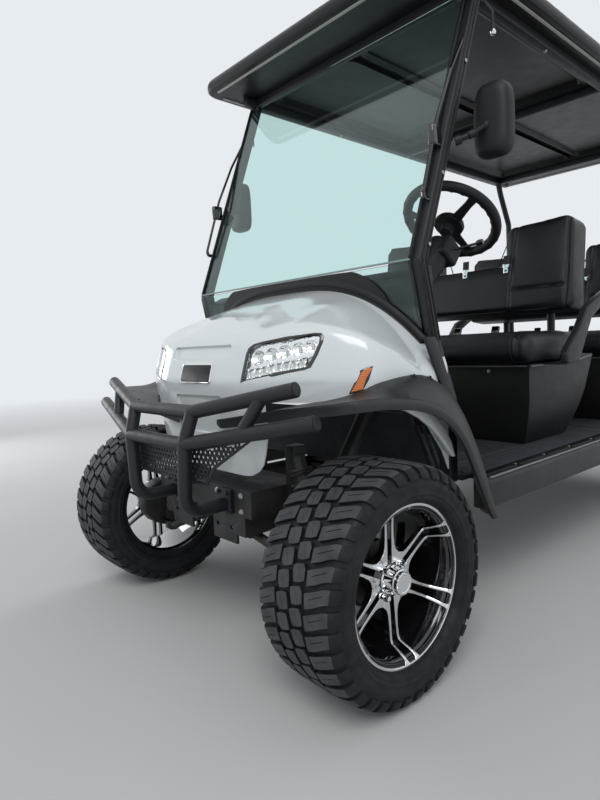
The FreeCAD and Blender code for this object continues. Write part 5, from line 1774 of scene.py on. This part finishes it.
def make_cushion_piping(cushion):
    """Welts round the cushion's upper and lower edge, and down the front at the side seams."""
    lines = []
    for z in (0.868, 0.785):
        line = []
        for x, y in roof_outline(0.6, 0.82, 1.5, 0.09, 10):
            start = Vector((x, y, z))
            aim = Vector((0 if abs(x) < 0.42 else x - math.copysign(0.4, x),
                          (1.162 - y) if abs(x) < 0.42 or abs(y - 1.16) > 0.17 else 0, 0))
            hit, place, normal, face = cushion.ray_cast(start, aim.normalized())
            if hit:
                line.append(tuple(place - aim.normalized() * 0.0008))
        lines.append(swept(line, 0.0028, VINYL, True))
    for side in (-1, 1):
        down = surface_line(cushion, [(side * 0.426, 0.86, z) for z in np.linspace(0.785, 0.872, 14)],
                            (0, 1, 0), -0.0002)
        over = surface_line(cushion, [(side * 0.426, y, 0.98) for y in np.linspace(0.958, 1.385, 30)],
                            (0, 0, -1), -0.0002)
        if len(down) > 2 and len(over) > 2:
            lines.append(swept(down + over, 0.002, VINYL))
    across_line = surface_line(cushion, [(x, 1.165, 0.98) for x in np.linspace(-0.42, 0.42, 50)],
                               (0, 0, -1), -0.0004)
    if len(across_line) > 2:
        lines.append(swept(across_line, 0.0014, VINYL))
    return join(lines, "welts")


def make_backrest():
    """Two shoulders and a low middle, tipped back, with sewn channels on the front."""
    outline = [(-0.478, 1.0), (-0.478, 1.33), (-0.455, 1.356), (-0.215, 1.356), (-0.196, 1.335),
               (-0.187, 1.232), (-0.17, 1.208), (0.17, 1.208), (0.187, 1.232), (0.196, 1.335),
               (0.215, 1.356), (0.455, 1.356), (0.478, 1.33), (0.478, 1.0), (0.462, 0.992), (-0.462, 0.992)]
    obj = plate(outline, 0.137, 1, 1.304, 0.024, 4)
    modify(obj, "REMESH", mode="VOXEL", voxel_size=0.01)
    swell(obj, 0.012)
    modify(obj, "SUBSURF", levels=1, render_levels=1)
    points = points_of(obj)
    w, z = np.abs(points[:, 0]), points[:, 2]
    front = points[:, 1] < 1.36
    channel = np.maximum(np.exp(-((w - 0.215 - 0.02 * held((z - 1.1) / 0.25)) / 0.006) ** 2),
                         np.exp(-((w - 0.452) / 0.006) ** 2))
    level = np.exp(-((z - 1.095) / 0.006) ** 2) * ((w > 0.222) & (w < 0.448))
    points[:, 1] += np.where(front, 0.0075 * np.maximum(channel, level), 0)
    plump = 0.006 * held(1 - ((w - 0.333) / 0.11) ** 2) * held(1 - ((z - 1.225) / 0.12) ** 2)
    points[:, 1] -= np.where(front, plump, 0)
    lo, hi = points.min(0), points.max(0)
    target_lo, target_hi = np.array([-0.488, 1.29, 0.985]), np.array([0.488, 1.455, 1.368])
    points = target_lo + (points - lo) / (hi - lo) * (target_hi - target_lo)
    put_points(obj, points)
    return paint(obj, VINYL)


BACK_FOOT = Matrix.Translation((0, 1.29, 0.985))
BACK_TURN = BACK_FOOT @ Matrix.Rotation(math.radians(-6), 4, "X") @ BACK_FOOT.inverted()


def make_back_welts(back):
    pieces = []
    for y in (1.312, 1.432):
        ring = []
        for angle in np.linspace(0, 2 * math.pi, 150, endpoint=False):
            start = Vector((0.9 * math.cos(angle), y, 1.12 + 0.9 * math.sin(angle)))
            aim = Vector((0.3 * math.cos(angle) - start.x, 0, 1.1 - start.z)).normalized()
            hit, place, normal, face = back.ray_cast(start, aim)
            if hit:
                ring.append(tuple(place - aim * 0.0006))
        pieces.append(swept(ring, 0.0026, VINYL, True))
    return join(pieces, "welts")


def buckle(x, y, z, lean=0.0):
    """A belt's black latch on its strap."""
    body = block(-0.018, 0.018, -0.009, 0.009, -0.026, 0.026, 0.005, 3, GLOSS)
    slot = block(-0.012, 0.012, -0.0035, 0.0035, 0.0245, 0.027, 0.001, 2, DASH)
    tail = block(-0.016, 0.016, -0.002, 0.002, -0.07, -0.02, 0.001, 2, STRAP)
    obj = join([body, slot, tail], "buckle")
    obj.data.transform(Matrix.Translation((x, y, z)) @ Matrix.Rotation(lean, 4, "X"))
    return obj


def belt_tongue(x, y, z):
    """A belt end that hangs on the back: strap and bright tongue."""
    strap_piece = block(x - 0.015, x + 0.015, y - 0.003, y + 0.0005, z + 0.01, z + 0.05, 0.001, 2, STRAP)
    tongue = plate([(x - 0.011, z - 0.026), (x + 0.011, z - 0.026), (x + 0.011, z - 0.004),
                    (x + 0.015, z + 0.002), (x + 0.015, z + 0.013), (x - 0.015, z + 0.013),
                    (x - 0.015, z + 0.002), (x - 0.011, z - 0.004)], 0.0022, 1, y - 0.0065,
                   0.0006, 2, CHROME)
    hole = block(x - 0.0055, x + 0.0055, y - 0.007, y - 0.006, z - 0.02, z - 0.012, 0.0, 1, GLOSS)
    return join([strap_piece, tongue, hole], "tongue")


def make_seat_frame():
    pieces = []
    for side in (-1, 1):
        flat = [(1.078, 0.776), (1.09, 0.768), (1.18, 0.77), (1.205, 0.8), (1.3, 0.938), (1.42, 0.996),
                (1.478, 1.032), (1.478, 1.064), (1.405, 1.038), (1.262, 0.982), (1.18, 0.892), (1.1, 0.832),
                (1.078, 0.806)]
        pad = plate(flat, side * 0.03, 0, side * 0.54, 0.008, 3, COAT)
        pieces.append(block(side * 0.52 - 0.046, side * 0.52 + 0.046, 1.085, 1.18, 0.7655, 0.7725,
                            0.002, 2, COAT))
        pieces.append(pad)
        pieces.append(bent_tube([(side * 0.33, 1.472, 0.76), (side * 0.33, 1.472, 0.985),
                                 (side * 0.33, 1.507, 1.315)], 0.016, 0.06, 28, material=COAT))
        for y, z in ((1.464, 0.87), (1.5, 1.24)):
            pieces.append(bolt((side * 0.33, y + 0.024, z), (0, 1, 0), 0.006))
    return join(pieces, "seat_frame")


def make_pod():
    pieces = [from_node("seat_bases", 0.012, 4, SHELL, 40)]
    for lift in (0.0, ROW_PITCH):
        for side in (-1, 1):
            x = side * 0.4655
            line = [(x, 1.012 + lift, 0.764), (x, 1.351 + lift, 0.764), (x, 1.56 + lift, 0.786)]
            pieces.append(bent_tube(line, 0.0032, 0.05, 12, material=LINE))
            pieces.append(rod((side * 0.455, 1.0 + lift, 0.764), (side * 0.01, 0.9975 + lift, 0.764), 0.003,
                              12, material=LINE))
        for x in (-0.3, 0.0, 0.3):
            pieces.append(spun([(0.0, 0.0), (0.0, 0.008), (0.002, 0.0075), (0.003, 0.0)], 20,
                               (x, 0.9985 + lift, 0.745), (0, -1, 0), material=STEEL))
    return join(pieces, "pods")


def make_seats():
    cushion = make_cushion()
    welts = make_cushion_piping(cushion)
    back = make_backrest()
    back_welts = make_back_welts(back)
    belts = join([belt_tongue(0.009, 1.2895, 1.18), belt_tongue(0.209, 1.2895, 1.18),
                  belt_tongue(-0.209, 1.2895, 1.18)], "belts")
    for obj in (back, back_welts, belts):
        obj.data.transform(BACK_TURN)
    buckles = join([buckle(-0.1, 1.405, 0.905, -0.35), buckle(0.1, 1.405, 0.905, -0.35)], "buckles")
    seat_frame = make_seat_frame()
    for row, lift in (("front", 0.0), ("rear", ROW_PITCH)):
        place = Matrix.Translation((0, lift, 0))
        pad = finish(copy_of(cushion, place), "cushion_" + row, ["seat_cushions"], 60)
        rest = finish(copy_of(back, place), "backrest_" + row, ["seat_backs"], 60)
        finish(copy_of(welts, place), "cushion_welts_" + row, angle=60)
        finish(copy_of(back_welts, place), "back_welts_" + row, angle=60)
        finish(copy_of(belts, place), "belts_" + row, angle=30)
        finish(copy_of(buckles, place), "buckles_" + row, angle=30)
        finish(copy_of(seat_frame, place), "seat_tubes_" + row, ["seat_frames"], 30)
    for obj in (cushion, welts, back, back_welts, belts, buckles, seat_frame):
        bpy.data.objects.remove(obj)
    finish(make_pod(), "seat_pods", ["seat_bases"], 30)


make_seats()


# Running gear: rounded copies of the solids, with the springs, their seats and the bolts that they lack.
def spring(start, end, radius, wire, turns):
    """A coil spring between two points."""
    a, b = Vector(start), Vector(end)
    aim = (b - a).normalized()
    side_way = aim.orthogonal().normalized()
    other = aim.cross(side_way)
    line = []
    steps = int(turns * 18)
    for k in range(steps + 1):
        t = k / steps
        angle = 2 * math.pi * turns * t
        line.append(a + (b - a) * t + (side_way * math.cos(angle) + other * math.sin(angle)) * radius)
    return swept(line, wire, CHASSIS)


def make_front_gear():
    pieces = [from_node("front_suspension", 0.002, 2, CHASSIS)]
    for side in (-1, 1):
        low, top = Vector((side * 0.352, 0, 0.268)), Vector((side * 0.276, 0, 0.56))
        aim = top - low
        pieces.append(spring(low + aim * 0.22, low + aim * 0.86, 0.03, 0.0052, 7))
        for share in (0.21, 0.87):
            centre = low + aim * share
            pieces.append(spun([(-0.003, 0.0), (-0.003, 0.037), (0.003, 0.037), (0.003, 0.0)], 32,
                               tuple(centre), tuple(aim.normalized()), material=CHASSIS))
        for y in (-0.08, 0.08):
            pieces.append(bolt((side * 0.3, y + math.copysign(0.016, y), 0.335),
                               (0, math.copysign(1, y), 0), 0.008))
    return join(pieces, "front_gear")


def make_frame_rails():
    pieces = [from_node("frame", 0.004, 2, CHASSIS)]
    for side in (-1, 1):
        for z in (0.418, 0.462):
            for x in (0.09, 0.205):
                pieces.append(bolt((side * x, -0.15, z), (0, -1, 0), 0.007))
    return join(pieces, "rails")


finish(make_frame_rails(), "frame_rails", ["frame"], 30)
finish(make_front_gear(), "front_gear", ["front_suspension"], 30)
finish(from_node("rear_axle", 0.002, 2, CHASSIS), "axle_and_springs", ["rear_axle"], 30)
for hand in ("left", "right"):
    knuckle = "knuckle_" + hand
    finish(from_node(knuckle, 0.0015, 2, CHASSIS), "hub_carrier_" + hand, [knuckle],
           30, knuckle)
finish(from_node("tie_rod", 0.001, 2, CHASSIS), "track_rod", ["tie_rod"], 30, "tie_rod")
paint(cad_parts["power_pack"], CHASSIS)
